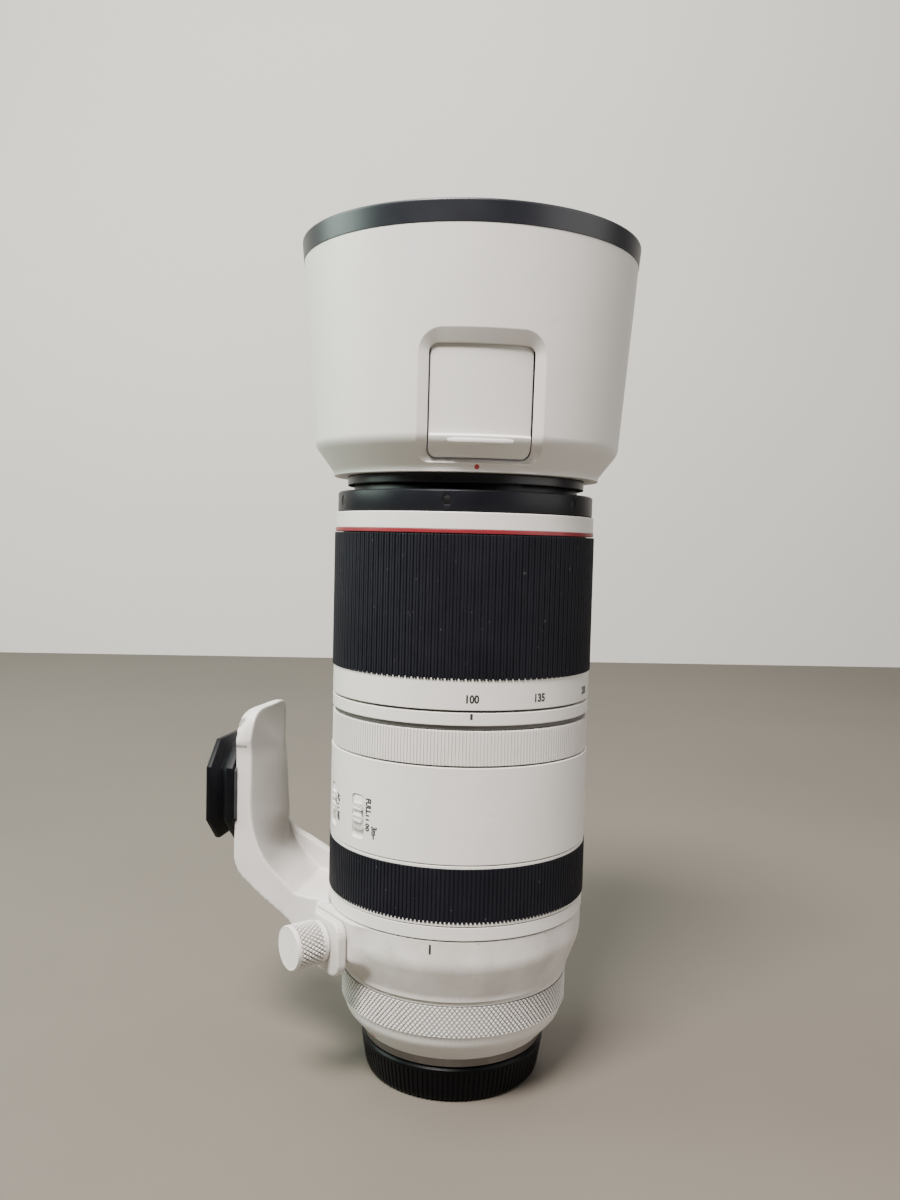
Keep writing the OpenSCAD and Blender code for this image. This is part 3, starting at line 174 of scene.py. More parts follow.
def finish_of(name, colour, worn, roughness, grain_size, grain_height, patch_size=18, metallic=0.0,
              coat=0.0, specks=0.0, speck_colour=(0.1, 0.09, 0.08), recess_colour=None, sheen=0.5):
    """A finish from two colours that drift into each other, a roughness range and a fine grain.

    A piece may carry a mask of painted shade, 1 in its grooves and on shaded faces, that darkens the colour
    there; on the foot the same mask also marks real paint chips."""
    material = bpy.data.materials.new(name)
    material.use_nodes = True
    tree = material.node_tree
    grain = grain_of(tree, Grain_Size=grain_size, Patch_Size=patch_size)
    drift = node_in(tree, "ShaderNodeMapRange", Value=grain.outputs["Patches"], From_Min=0.35, From_Max=0.7)
    result = mixed(tree, drift.outputs["Result"], (*colour, 1), (*worn, 1))
    if specks:
        dirt_and_shade = math_in(tree, "MULTIPLY", grain.outputs["Specks"], specks)
        result = mixed(tree, dirt_and_shade, result, (*speck_colour, 1))
    # Painted shade: the mask darkens grooves and shaded faces towards this colour, and on the foot also the
    # real paint chips.
    if recess_colour:
        recess = tree.nodes.new("ShaderNodeAttribute")
        recess.attribute_name = "recess"
        result = mixed(tree, recess.outputs["Fac"], result, (*recess_colour, 1))
    gloss = node_in(tree, "ShaderNodeMapRange", Value=grain.outputs["Patches"], To_Min=roughness[0],
                    To_Max=roughness[1])
    bump = node_in(tree, "ShaderNodeBump", Height=grain.outputs["Grain"], Distance=grain_height * mm,
                   Strength=1.0)
    feed(tree.nodes["Principled BSDF"], Base_Color=result, Roughness=gloss.outputs["Result"],
         Normal=bump.outputs["Normal"], Metallic=metallic, Coat_Weight=coat, Coat_Roughness=0.15,
         Specular_IOR_Level=sheen)
    return material


def studio_sheet(name, corners, finish):
    mesh = bpy.data.meshes.new(name)
    mesh.from_pydata(corners, [], [(0, 1, 2, 3)])
    mesh.materials.append(finish)
    placed(name, mesh)


pale_floor = finish_of("pale_floor", (0.112, 0.097, 0.079), (0.128, 0.111, 0.090),
                       roughness=(0.6, 0.7), grain_size=2.0, grain_height=0.01, patch_size=300)
pale_wall = finish_of("pale_wall", (0.72, 0.69, 0.65), (0.70, 0.67, 0.63),
                      roughness=(0.7, 0.8), grain_size=3.0, grain_height=0.01, patch_size=400)
floor_front = [(-floor_half, -floor_half, 0), (floor_half, -floor_half, 0)]
wall_foot = [(-floor_half, wall_y, 0), (floor_half, wall_y, 0)]
wall_head = [(-floor_half, wall_y, wall_top), (floor_half, wall_y, wall_top)]
studio_sheet("floor", floor_front + wall_foot[::-1], pale_floor)
studio_sheet("back_wall", wall_foot + wall_head[::-1], pale_wall)

# Rear cap
# A moulded glossy black plastic cap that the lens stands on. Fine upright ribs give grip, and a smooth
# bevel closes the top edge. It is pushed on and twisted on the mount's claws.
cap_ribs = 117


def around(azimuth, reach, height):
    return Vector((reach * sin(azimuth), -reach * cos(azimuth), height))


def ring_size(node):
    low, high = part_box(node)
    return (high.x - low.x) / 2, low.z, high.z


def rounded(corners, steps=4):
    """Eases each corner (reach, height, rounding) of a closed outline; close supports keep flats flat."""
    points = []
    for i, (reach, height, rounding) in enumerate(corners):
        here = Vector((reach, height))
        if not rounding:
            points.append(here)
            continue
        before = Vector(corners[i - 1][:2]) - here
        after = Vector(corners[(i + 1) % len(corners)][:2]) - here
        cut = min(rounding, before.length * 0.45, after.length * 0.45)
        start = here + before.normalized() * cut
        end = here + after.normalized() * cut
        points.append(start + before.normalized() * min(cut * 0.3, before.length * 0.04))
        for k in range(steps + 1):
            t = k / steps
            points.append(start * (1 - t) ** 2 + here * 2 * t * (1 - t) + end * t * t)
        points.append(end + after.normalized() * min(cut * 0.3, after.length * 0.04))
    return points


def tidy_mesh(mesh, sharp=35, merge=1e-7):
    """Joins doubled points, turns the faces outwards and keeps edges past the sharp angle crisp."""
    shape = bmesh.new()
    shape.from_mesh(mesh)
    bmesh.ops.remove_doubles(shape, verts=shape.verts, dist=merge)
    bmesh.ops.recalc_face_normals(shape, faces=shape.faces)
    return kept_crisp(mesh_from(shape, mesh), sharp)


def mesh_from(shape, mesh):
    shape.to_mesh(mesh)
    shape.free()
    return mesh


def kept_crisp(mesh, sharp):
    mesh.shade_smooth()
    mesh.set_sharp_from_angle(angle=radians(sharp))
    return mesh


def loops_to_mesh(loops, closed_way=True):
    """Joins equal closed rows of points with quads. The last row may meet the first."""
    size = len(loops[0])
    faces = []
    for i in range(len(loops) if closed_way else len(loops) - 1):
        for j in range(size):
            k = (j + 1) % size
            n = (i + 1) % len(loops)
            faces.append((i * size + j, i * size + k, n * size + k, n * size + j))
    mesh = bpy.data.meshes.new("rows")
    mesh.from_pydata([point for loop in loops for point in loop], [], faces)
    return mesh


def turned(corners, steps=256):
    """A closed outline of (reach, height, rounding) turned around the optical axis."""
    outline = rounded(corners)
    loops = [[around(2 * pi * i / steps, p.x, p.y) for p in outline] for i in range(steps)]
    return tidy_mesh(loops_to_mesh(loops))


def band(outer_r, wall, low, high, low_round, high_round, steps=256):
    """A plain turned band with its two outer edges rounded."""
    return turned([
        (outer_r - wall, low, 0),
        (outer_r, low, low_round),
        (outer_r, high, high_round),
        (outer_r - wall, high, 0),
    ], steps)


def piece_of(name, mesh, material, body, slot, *nodes):
    """A finished piece that rides on a body. The slot is not used."""
    piece = placed(name, mesh)
    mesh.name = name
    mesh.materials.clear()
    mesh.materials.append(material)
    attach(piece, body)
    if nodes:
        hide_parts(*nodes)


# One slice of a ribbed or knurled ring is set out Count times around the Z axis and joined edge to edge.
ring_tree = bpy.data.node_groups.new("slices_around_axis", "GeometryNodeTree")
ring_inputs = (("Geometry", "Slice"), ("Int", "Count"), ("Float", "Join Distance"), ("Material", "Finish"))
for kind, socket_name in ring_inputs:
    ring_tree.interface.new_socket(socket_name, in_out="INPUT", socket_type="NodeSocket" + kind)
ring_tree.interface.new_socket("Ring", in_out="OUTPUT", socket_type="NodeSocketGeometry")
tree_in = ring_tree.nodes.new("NodeGroupInput").outputs
tree_out = ring_tree.nodes.new("NodeGroupOutput")
slice_places = node_in(ring_tree, "GeometryNodePoints", Count=tree_in["Count"])
slice_number = ring_tree.nodes.new("GeometryNodeInputIndex")
slice_share = math_in(ring_tree, "DIVIDE", slice_number.outputs[0], tree_in["Count"])
slice_turn = math_in(ring_tree, "MULTIPLY", slice_share, 2 * pi)
slice_euler = node_in(ring_tree, "ShaderNodeCombineXYZ", Z=slice_turn)
slice_rotation = node_in(ring_tree, "FunctionNodeEulerToRotation", Euler=slice_euler.outputs[0])
slices = node_in(ring_tree, "GeometryNodeInstanceOnPoints", Points=slice_places.outputs[0],
                 Instance=tree_in["Slice"], Rotation=slice_rotation.outputs[0])
real_slices = node_in(ring_tree, "GeometryNodeRealizeInstances", Geometry=slices.outputs[0])
joined = node_in(ring_tree, "GeometryNodeMergeByDistance", Geometry=real_slices.outputs[0],
                 Distance=tree_in["Join Distance"])
finished = node_in(ring_tree, "GeometryNodeSetMaterial", Geometry=joined.outputs[0],
                   Material=tree_in["Finish"])
feed(tree_out, Ring=finished.outputs[0])


def plain_mesh(carrier):
    """The carrier's mesh with its modifiers applied. The carrier itself is removed."""
    made = bpy.data.meshes.new_from_object(carrier.evaluated_get(bpy.context.evaluated_depsgraph_get()))
    bpy.data.objects.remove(carrier)
    return made


def set_around(slice_mesh, count, material, sharp=35):
    """Repeats a slice around the axis with the tree above and gives the plain mesh."""
    carrier = placed("slice", slice_mesh)
    modifier = carrier.modifiers.new("around", "NODES")
    modifier.node_group = ring_tree
    values = {"Count": count, "Join Distance": 0.002 * mm, "Finish": material}
    for item in ring_tree.interface.items_tree:
        if item.in_out == "INPUT" and item.name in values:
            modifier[item.identifier] = values[item.name]
    return tidy_mesh(plain_mesh(carrier), sharp)


# Stores a mask of painted shade on a mesh's points; on the foot it also marks real paint chips.
def mark_recess(mesh, values):
    layer = mesh.attributes.new("recess", "FLOAT", "POINT")
    layer.data.foreach_set("value", values)


def ribbed(corners, wave, count, material, teeth=0.0, flanks=False):
    """A ribbed ring. Corners are (reach, height, rounding, groove), and the wave lists pairs of the share
    of a slice and the share of the groove.

    With teeth, the lower end of each groove stops short of the ribs' ends. The grooves carry a mask of
    painted shade; with flanks, the painted shade keeps to the ribs' sides."""
    grooved = {}
    for reach, height, rounding, groove in corners:
        grooved[(reach, height)] = groove
    outline = rounded([corner[:3] for corner in corners], 3)
    grooves = []
    for point in outline:
        nearest = min(grooved, key=lambda c: (c[0] - point.x) ** 2 + (c[1] - point.y) ** 2)
        grooves.append(grooved[nearest])
    deepest = max(grooves)
    foot = min(p.y for p in outline)
    middle = (foot + max(p.y for p in outline)) / 2
    loops = []
    recess = []
    for share, depth_share in wave:
        azimuth = 2 * pi / count * share
        loop = []
        for p, g in zip(outline, grooves):
            rise = teeth * depth_share if p.y < middle else 0
            loop.append(around(azimuth, p.x - g * depth_share, p.y + rise))
            # Painted shade: full in the grooves, or only on the ribs' flanks.
            dirt_and_shade = 4 * depth_share * (1 - depth_share) if flanks else depth_share
            recess.append(dirt_and_shade * g / deepest)
        loops.append(loop)
    mesh = loops_to_mesh(loops, closed_way=False)
    mark_recess(mesh, recess)
    return set_around(mesh, count, material)


cap_black = finish_of("cap_black", (0.0010, 0.0010, 0.0016), (0.0018, 0.0018, 0.0027),
                      roughness=(0.3, 0.42), grain_size=0.4, grain_height=0.004, patch_size=12,
                      sheen=0.12)
# How far the sharp edges of the pieces are broken.
hair_edge = 0.05 * mm
crisp_edge = 0.1 * mm
fine_edge = 0.2 * mm
edge = 0.25 * mm
soft_edge = 0.3 * mm
cap_top_r, cap_low, cap_top = ring_size("rear_cap")
cap_foot_r = cap_top_r - 1.5 * mm
cap_wall = 2 * mm
cap_groove = 0.35 * mm
cap_band_low = cap_top - 1.7 * mm
cap_bevel = 0.9 * mm
cap_sole_r = cap_foot_r - 2.2 * mm
cap_heel_r = cap_foot_r - 0.5 * mm
cap_heel_top = cap_low + 0.9 * mm
cap_side_r = cap_foot_r + 0.1 * mm
cap_side_low = cap_low + 3 * mm
cap_ribs_top_r = cap_top_r - 0.05 * mm
cap_ribs_top = cap_band_low - 0.2 * mm
cap_sole_soft = 0.8 * mm
cap_heel_soft = 1 * mm
cap_inside_soft = 0.5 * mm
rib_wave_shares = [(0, 1), (0.16, 1), (0.26, 0.12), (0.36, 0), (0.74, 0), (0.84, 0.12), (0.94, 1), (1, 1)]
cap_mesh = ribbed([
    (0, cap_low, 0, 0),
    (cap_sole_r, cap_low, cap_sole_soft, 0),
    (cap_heel_r, cap_heel_top, cap_sole_soft, cap_groove),
    (cap_side_r, cap_side_low, cap_heel_soft, cap_groove),
    (cap_ribs_top_r, cap_ribs_top, 0, cap_groove),
    (cap_top_r, cap_band_low, crisp_edge, 0),
    (cap_top_r, cap_top - cap_bevel, soft_edge, 0),
    (cap_top_r - cap_bevel, cap_top, soft_edge, 0),
    (cap_top_r - cap_wall, cap_top, fine_edge, 0),
    (cap_foot_r - cap_wall, cap_low + cap_wall, cap_inside_soft, 0),
    (0, cap_low + cap_wall, 0, 0),
], rib_wave_shares, cap_ribs, cap_black)
piece_of("rear_cap_body", cap_mesh, cap_black, "cap", "cap_plastic", "rear_cap")

# Mount ring, its screws and the contacts
# A machined steel bayonet flange, held from behind by four screws, with a black moulded block that
# carries a row of gilt contact pins. Only the flange's edge shows above the cap.
steel_finish = finish_of("machined_steel", (0.50, 0.49, 0.47), (0.40, 0.39, 0.37),
                         roughness=(0.25, 0.42), grain_size=0.15, grain_height=0.004, patch_size=8,
                         metallic=1.0)
# A darker copy of the steel for the flange: its colour stands in for a dark reflection of the floor, a
# painted reflection.
mount_steel_dark_reflection = finish_of("mount_steel_dark_reflection", (0.20, 0.186, 0.176), (0.15, 0.14, 0.132),
                        roughness=(0.30, 0.42), grain_size=0.3, grain_height=0.004, patch_size=12,
                        metallic=1.0)
brass_finish = finish_of("gilt_brass", (0.72, 0.50, 0.20), (0.60, 0.42, 0.18),
                         roughness=(0.22, 0.4), grain_size=0.15, grain_height=0.003, patch_size=5,
                         metallic=1.0)
moulded_black = finish_of("moulded_black", (0.018, 0.018, 0.020), (0.026, 0.026, 0.028),
                          roughness=(0.5, 0.68), grain_size=0.25, grain_height=0.012, patch_size=14)


def dress(material, *names):
    """Gives a CAD node that stays in view its finish."""
    for name in names:
        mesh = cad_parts[name].data
        mesh.materials.clear()
        mesh.materials.append(material)


def merged_copy(node):
    """A copy of a CAD node's mesh with its triangles joined and its round faces shaded round."""
    return tidy_mesh(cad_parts[node].data.copy(), 30, 1e-6)


mount_r, mount_tube_low, mount_top = ring_size("mount_ring")
mount_flange_low = mount_top - 3.3 * mm
mount_tube_r = 25.3 * mm
mount_wall = 1.8 * mm
mount_mesh = turned([
    (mount_tube_r - mount_wall, mount_tube_low, fine_edge),
    (mount_tube_r, mount_tube_low, fine_edge),
    (mount_tube_r, mount_flange_low, 0),
    (mount_r, mount_flange_low, edge),
    (mount_r, mount_top, crisp_edge),
    (mount_tube_r - mount_wall, mount_top, 0),
])
piece_of("mount_flange", mount_mesh, mount_steel_dark_reflection, "barrel", "steel", "mount_ring")


def ends_closed(mesh):
    """Closes the open ends of a mesh and turns its faces outwards."""
    shape = bmesh.new()
    shape.from_mesh(mesh)
    bmesh.ops.holes_fill(shape, edges=[e for e in shape.edges if e.is_boundary], sides=0)
    bmesh.ops.recalc_face_normals(shape, faces=shape.faces)
    return mesh_from(shape, mesh)


claw_count = 3
claw_angle = radians(46)
claw_steps = 14
claw_low = mount_tube_low + 0.02 * mm
claw_h = 1.38 * mm
claw_inner_r = mount_tube_r - 0.5 * mm
claw_outer_r = mount_tube_r + 1.5 * mm
tab_low = mount_tube_low + 1.7 * mm
tab_h = 1.7 * mm
tab_inner_r = mount_tube_r + 0.3 * mm
tab_outer_r = cap_top_r - 1 * mm


def claw(name, number, inner_r, outer_r, low, high, material, body, slot):
    """One of the bayonet's claws: a block with curved faces over part of a turn."""
    section = ((inner_r, low), (outer_r, low), (outer_r, high), (inner_r, high))
    middle = 2 * pi * number / claw_count
    turns = [middle + claw_angle * (k / claw_steps - 0.5) for k in range(claw_steps + 1)]
    loops = [[around(turn, r, z) for r, z in section] for turn in turns]
    mesh = tidy_mesh(ends_closed(loops_to_mesh(loops, closed_way=False)))
    piece_of("%s_%d" % (name, number + 1), mesh, material, body, slot)


for number in range(claw_count):
    claw("mount_claw", number, claw_inner_r, claw_outer_r, claw_low, claw_low + claw_h, steel_finish,
         "barrel", "steel")
    claw("cap_tab", number, tab_inner_r, tab_outer_r, tab_low, tab_low + tab_h, cap_black,
         "cap", "cap_plastic")
dress(steel_finish, "mount_screws")
dress(moulded_black, "contact_block")
dress(brass_finish, "contact_pins")

# Rear barrel
# A turned aluminium barrel end, painted warm white: a cone rises from the mount to a smooth band below
# the control ring. The red dot is the mount's index, pad printed.
white_paint = finish_of("warm_white_paint", (0.69, 0.665, 0.63), (0.655, 0.63, 0.595),
                        roughness=(0.40, 0.50), grain_size=0.35, grain_height=0.012, patch_size=16,
                        coat=0.05, specks=0.5, speck_colour=(0.42, 0.39, 0.36))
red_print = finish_of("red_print", (0.42, 0.03, 0.03), (0.34, 0.025, 0.025),
                      roughness=(0.4, 0.5), grain_size=0.2, grain_height=0.004, patch_size=6)
barrel_top_r, barrel_low, barrel_high = ring_size("rear_barrel")
control_r, control_low, control_high = ring_size("control_ring")
taper_h = 6.9 * mm
taper_r = 34 * mm
band_low_r = barrel_top_r - 1.0 * mm
band_top = control_low - 0.3 * mm
sleeve_r = control_r - 2.6 * mm
taper_wall = 8 * mm
sleeve_wall = 2 * mm
taper_soft = 1.6 * mm
rear_mesh = turned([
    (taper_r - taper_wall, barrel_low, 0),
    (taper_r, barrel_low, edge),
    (band_low_r, barrel_low + taper_h, taper_soft),
    (barrel_top_r, band_top, edge),
    (sleeve_r, band_top, 0),
    (sleeve_r, barrel_high, 0),
    (sleeve_r - sleeve_wall, barrel_high, 0),
    (sleeve_r - sleeve_wall, barrel_low + taper_h, 0),
    (taper_r - taper_wall, barrel_low + sleeve_wall, 0),
])
piece_of("rear_barrel_shell", rear_mesh, white_paint, "barrel", "white_paint", "rear_barrel")
ink_t = 0.03 * mm


def printed_dot(name, azimuth, height, r, reach_at, body, lift=ink_t, rim=28):
    """A red printed dot, a thin lens of ink that follows the turned surface below it."""
    top = []
    foot = []
    for i in range(rim):
        angle = 2 * pi * i / rim
        z = height + r * sin(angle)
        turn = azimuth + r * cos(angle) / reach_at(height)
        top.append(around(turn, reach_at(z) + lift * 0.5, z))
        foot.append(around(turn, reach_at(z) - lift * 2, z))
    inner = [around(azimuth, reach_at(height) + lift, height)] * rim
    deep = [around(azimuth, reach_at(height) - lift * 2, height)] * rim
    dot = tidy_mesh(loops_to_mesh([inner, top, foot, deep], closed_way=False), 50)
    piece_of(name, dot, red_print, body, "red_paint")


mount_dot_azimuth = radians(-55.4)
mount_dot_z = 19.0 * mm
mount_dot_r = 1.2 * mm
rear_slope = (band_low_r - taper_r) / taper_h
printed_dot("mount_index_dot", mount_dot_azimuth, mount_dot_z, mount_dot_r,
            lambda z: taper_r + (z - barrel_low) * rear_slope, "barrel")

# Control ring
# A painted metal ring with a fine diamond knurl, turned by hand to set whatever the camera assigns.
# It runs on the barrel's sleeve. A thin painted lip on the barrel keeps it from the collar.
control_columns = 154
control_overhang = 0.25 * mm
control_wall = 2.3 * mm
control_groove = 0.47 * mm
control_flat_share = 0.45
# The knurl's valleys carry painted shade in a dark grey.
knurl_paint = finish_of("knurl_paint_groove_shade", (0.71, 0.69, 0.66), (0.68, 0.655, 0.625),
                        roughness=(0.42, 0.52), grain_size=0.3, grain_height=0.008, patch_size=16,
                        recess_colour=(0.17, 0.159, 0.146))
knurl_slant = radians(39.7)


def knurl_slice(count, r, inner_r, low, high, depth, slant, flat_share):
    """One column of a diamond knurl between two heights, with its flat ends and its bore."""
    width = 2 * pi * r / count
    tall = width / tan(slant)
    shape = bmesh.new()
    # The mask of painted shade: 1 at the valley points, 0 at the crests.
    recess = shape.verts.layers.float.new("recess")

    def vertex(u, v, raised):
        made = shape.verts.new(around(u * width / r, r - (0 if raised else depth), low + v * tall))
        made[recess] = 0.0 if raised else 1.0
        return made

    rows = int((high - low) / tall) + 2
    for row in range(-1, rows):
        middle = row + 0.5
        valley = [vertex(0.5, middle, False), vertex(0, middle + 0.5, False),
                  vertex(-0.5, middle, False), vertex(0, middle - 0.5, False)]
        crest = [vertex(0.5 * flat_share, middle, True), vertex(0, middle + 0.5 * flat_share, True),
                 vertex(-0.5 * flat_share, middle, True), vertex(0, middle - 0.5 * flat_share, True)]
        shape.faces.new(crest)
        for k in range(4):
            n = (k + 1) % 4
            shape.faces.new((valley[k], valley[n], crest[n], crest[k]))
        for side in (-0.5, 0.5):
            for end in (-0.5, 0.5):
                apex = vertex(side, middle + end, True)
                along = vertex(side, middle + end * (1 - flat_share), True)
                across = vertex(side * (1 - flat_share), middle + end, True)
                side_valley = vertex(side, middle, False)
                end_valley = vertex(0, middle + end, False)
                shape.faces.new((apex, along, across))
                shape.faces.new((along, side_valley, end_valley, across))
    bmesh.ops.remove_doubles(shape, verts=shape.verts, dist=1e-8)
    for height, direction in ((low, -1), (high, 1)):
        bmesh.ops.bisect_plane(shape, geom=shape.verts[:] + shape.edges[:] + shape.faces[:], dist=1e-9,
                               plane_co=(0, 0, height), plane_no=(0, 0, direction), clear_outer=True)
    for height in (low, high):
        rim = [e for e in shape.edges
               if e.is_boundary and all(abs(v.co.z - height) < 1e-8 for v in e.verts)]
        for v in drawn_out(shape, rim):
            reach = v.co.xy.length
            v.co.x *= inner_r / reach
            v.co.y *= inner_r / reach
    lower = [e for e in shape.edges if e.is_boundary and all(
        abs(v.co.xy.length - inner_r) < 1e-8 and abs(v.co.z - low) < 1e-7 for v in e.verts)]
    for v in drawn_out(shape, lower):
        v.co.z = high
    return mesh_from(shape, bpy.data.meshes.new("slice"))


def drawn_out(shape, edges):
    """Extrudes edges into new faces and gives the new points."""
    made = bmesh.ops.extrude_edge_only(shape, edges=edges)
    return [g for g in made["geom"] if isinstance(g, bmesh.types.BMVert)]


control_slice = knurl_slice(control_columns, control_r + control_overhang, control_r - control_wall,
                            control_low, control_high, control_groove, knurl_slant, control_flat_share)
control_mesh = set_around(control_slice, control_columns, knurl_paint, 25)
piece_of("control_ring_knurl", control_mesh, knurl_paint, "control", "white_paint", "control_ring")

collar_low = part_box("tripod_ring")[0].z
collar_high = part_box("tripod_ring")[1].z
lip_r = 41.15 * mm
lip_wall = 1.5 * mm
lip_gap = 0.3 * mm
lip_low = control_high + lip_gap
lip_high = collar_low - 0.28 * mm
lip_mesh = band(lip_r, lip_wall, lip_low, lip_high, fine_edge, fine_edge)
piece_of("barrel_lip", lip_mesh, white_paint, "barrel", "white_paint")

# Inner barrels and circuit boards
# Turned aluminium barrels, lacquered black against stray light, that carry the groups inside, and the
# two green circuit boards that sit on them.
black_paint = finish_of("black_lacquer", (0.016, 0.016, 0.018), (0.022, 0.022, 0.024),
                        roughness=(0.38, 0.52), grain_size=0.2, grain_height=0.006, patch_size=14)
green_board = finish_of("board_green", (0.015, 0.10, 0.04), (0.02, 0.13, 0.05),
                        roughness=(0.35, 0.5), grain_size=0.5, grain_height=0.02, patch_size=6)
dress(black_paint, "core_barrel", "rear_cell", "guide_barrel", "inner_guide", "cam_barrel", "front_cell")
dress(green_board, "main_board", "switch_board")

# Tripod collar
# A cast and turned ring with a cone towards the camera, painted and a little grimy from handling. Its
# flat pad carries the clamp. The black line shows the collar's turn.
collar_paint = finish_of("handled_white_paint", (0.67, 0.64, 0.605), (0.53, 0.495, 0.46),
                         roughness=(0.42, 0.58), grain_size=0.5, grain_height=0.03, patch_size=13,
                         specks=0.9, speck_colour=(0.33, 0.30, 0.28))
collar_r = 46.4 * mm
collar_foot_r = 41.9 * mm
collar_bore_r = 40.3 * mm
collar_cone_top = collar_low + 13.6 * mm
collar_cone_r = collar_foot_r + 0.2 * mm
collar_cone_low = collar_low + 1.8 * mm
collar_foot_soft = 0.4 * mm
cone_low_soft = 1.5 * mm
cone_top_soft = 2.4 * mm
collar_inside_r = collar_foot_r - 0.5 * mm
collar_step = 0.9 * mm
knob_azimuth = radians(-58.2)
knob_shift = -7 * mm
knob_z = 53.8 * mm
pad_face = collar_r + 2.5 * mm
pad_skin = pad_face - 0.2 * mm
pad_left = knob_shift - 10 * mm
pad_right = 4.6 * mm
pad_fade = 11 * mm
pad_fade_in = 2 * mm
pad_low = collar_low + 4 * mm
pad_rise = 6 * mm
collar_columns = 540


def eased(share):
    share = max(0.0, min(1.0, share))
    return share * share * (3 - 2 * share)


def collar_reach(reach, height, azimuth):
    """The turned collar's reach, raised to the flat clamp pad around the knob's azimuth."""
    turn = azimuth - knob_azimuth
    if cos(turn) < 0.7 or reach < collar_inside_r:
        return reach
    across = pad_skin * tan(turn)
    if across < pad_left or across > pad_right + pad_fade:
        return reach
    flat = pad_skin / cos(turn)
    share = 1 - eased((across - pad_right + pad_fade_in) / pad_fade)
    share *= eased((height - pad_low) / pad_rise)
    return reach + max(0.0, flat - reach) * share


collar_outline = rounded([
    (collar_bore_r, collar_low, 0),
    (collar_foot_r, collar_low, collar_foot_soft),
    (collar_cone_r, collar_cone_low, cone_low_soft),
    (collar_r, collar_cone_top, cone_top_soft),
    (collar_r, collar_high, soft_edge),
    (collar_bore_r, collar_high, 0),
], 6)
collar_rows = []
for i, point in enumerate(collar_outline):
    following = collar_outline[(i + 1) % len(collar_outline)]
    outside = point.x > collar_foot_r - 1e-9 < following.x
    steps = max(1, int((following - point).length / collar_step)) if outside else 1
    collar_rows += [point.lerp(following, k / steps) for k in range(steps)]
collar_loops = []
for i in range(collar_columns):
    azimuth = 2 * pi * i / collar_columns
    turn = azimuth - 2 * pi if azimuth > pi else azimuth
    collar_loops.append([around(turn, collar_reach(p.x, p.y, turn), p.y) for p in collar_rows])
collar_mesh = tidy_mesh(loops_to_mesh(collar_loops), 40)
piece_of("collar_ring", collar_mesh, collar_paint, "collar", "white_paint", "tripod_ring")

mark_black = finish_of("black_print", (0.02, 0.02, 0.022), (0.028, 0.028, 0.03),
                       roughness=(0.45, 0.6), grain_size=0.2, grain_height=0.004, patch_size=5)


def printed_bar(name, azimuth, low, high, width, reach, body, lift=ink_t):
    """A black printed upright bar on a cylinder: a thin block of ink bent to the surface."""
    half = width / 2 / reach
    section = [(-half, lift), (half, lift), (half, -lift), (-half, -lift)]
    loops = [[around(azimuth + turn, reach + rise, z) for turn, rise in section] for z in (low, high)]
    bar = tidy_mesh(ends_closed(loops_to_mesh(loops, closed_way=False)), 30)
    piece_of(name, bar, mark_black, body, "black_plastic")


collar_mark_azimuth = radians(-14.5)
collar_mark_low = 58.2 * mm
collar_mark_high = 61.5 * mm
collar_mark_w = 0.75 * mm
printed_bar("collar_mark", collar_mark_azimuth, collar_mark_low, collar_mark_high, collar_mark_w, collar_r,
            "collar")

# Tripod foot
# An aluminium casting, painted like the collar and clamped to it: an arm reaches up and out, and a thick
# plate with a round top stands beside the barrel. The paint is chipped at its top edge.
# The darker colour is painted shade on the plate's inner face, which looks towards the barrel, and the
# colour of the real paint chips.
foot_paint = finish_of("foot_paint", (0.665, 0.635, 0.60), (0.60, 0.57, 0.54),
                       roughness=(0.42, 0.55), grain_size=0.5, grain_height=0.03, patch_size=15,
                       specks=0.8, speck_colour=(0.33, 0.30, 0.28), recess_colour=(0.23, 0.215, 0.20))
# Chips in the paint, as ((across, height), size) in millimetres.
foot_chips = [((14.4, 126.0), 1.5), ((15.2, 124.6), 1.0), ((16.4, 121.6), 0.7), ((16.9, 117.3), 0.8)]


def eased_mesh(mesh, rounds):
    """Softens a dense mesh evenly, which rounds its edges."""
    carrier = placed("carrier", mesh)
    ease = carrier.modifiers.new("ease", "SMOOTH")
    ease.factor = 0.5
    ease.iterations = rounds
    made = plain_mesh(carrier)
    made.shade_smooth()
    return made


def cast_copy(node, voxel, rounds):
    """A CAD node's solid with the soft edges of a casting: remeshed finely, then eased."""
    carrier = placed("carrier", merged_copy(node))
    remesh = carrier.modifiers.new("cast", "REMESH")
    remesh.mode = "VOXEL"
    remesh.voxel_size = voxel
    return eased_mesh(plain_mesh(carrier), rounds)


foot_azimuth = radians(-104.8)
foot_reach = 80 * mm
foot_edge_t = 6 * mm
foot_half_w = 17 * mm
arch_r = 18 * mm
arch_z = 113 * mm
arch_power = 3.0
arch_power_gain = 2.0
crest_drop = 1.8 * mm
bend_length = 20 * mm
arm_slope = radians(40.6)
arm_t = 9.6 * mm
arm_reach_start = 59 * mm
arm_z_start = 52.8 * mm
crown_t = 5 * mm
crown_fade = 6 * mm
plate_rise = 53 * mm
crown_rise = 13 * mm
lean = 0.9 * mm
lean_fade = 10 * mm
lean_from = 60 * mm
lean_low = 78 * mm
lean_rise = 40 * mm
bend_from = 50 * mm


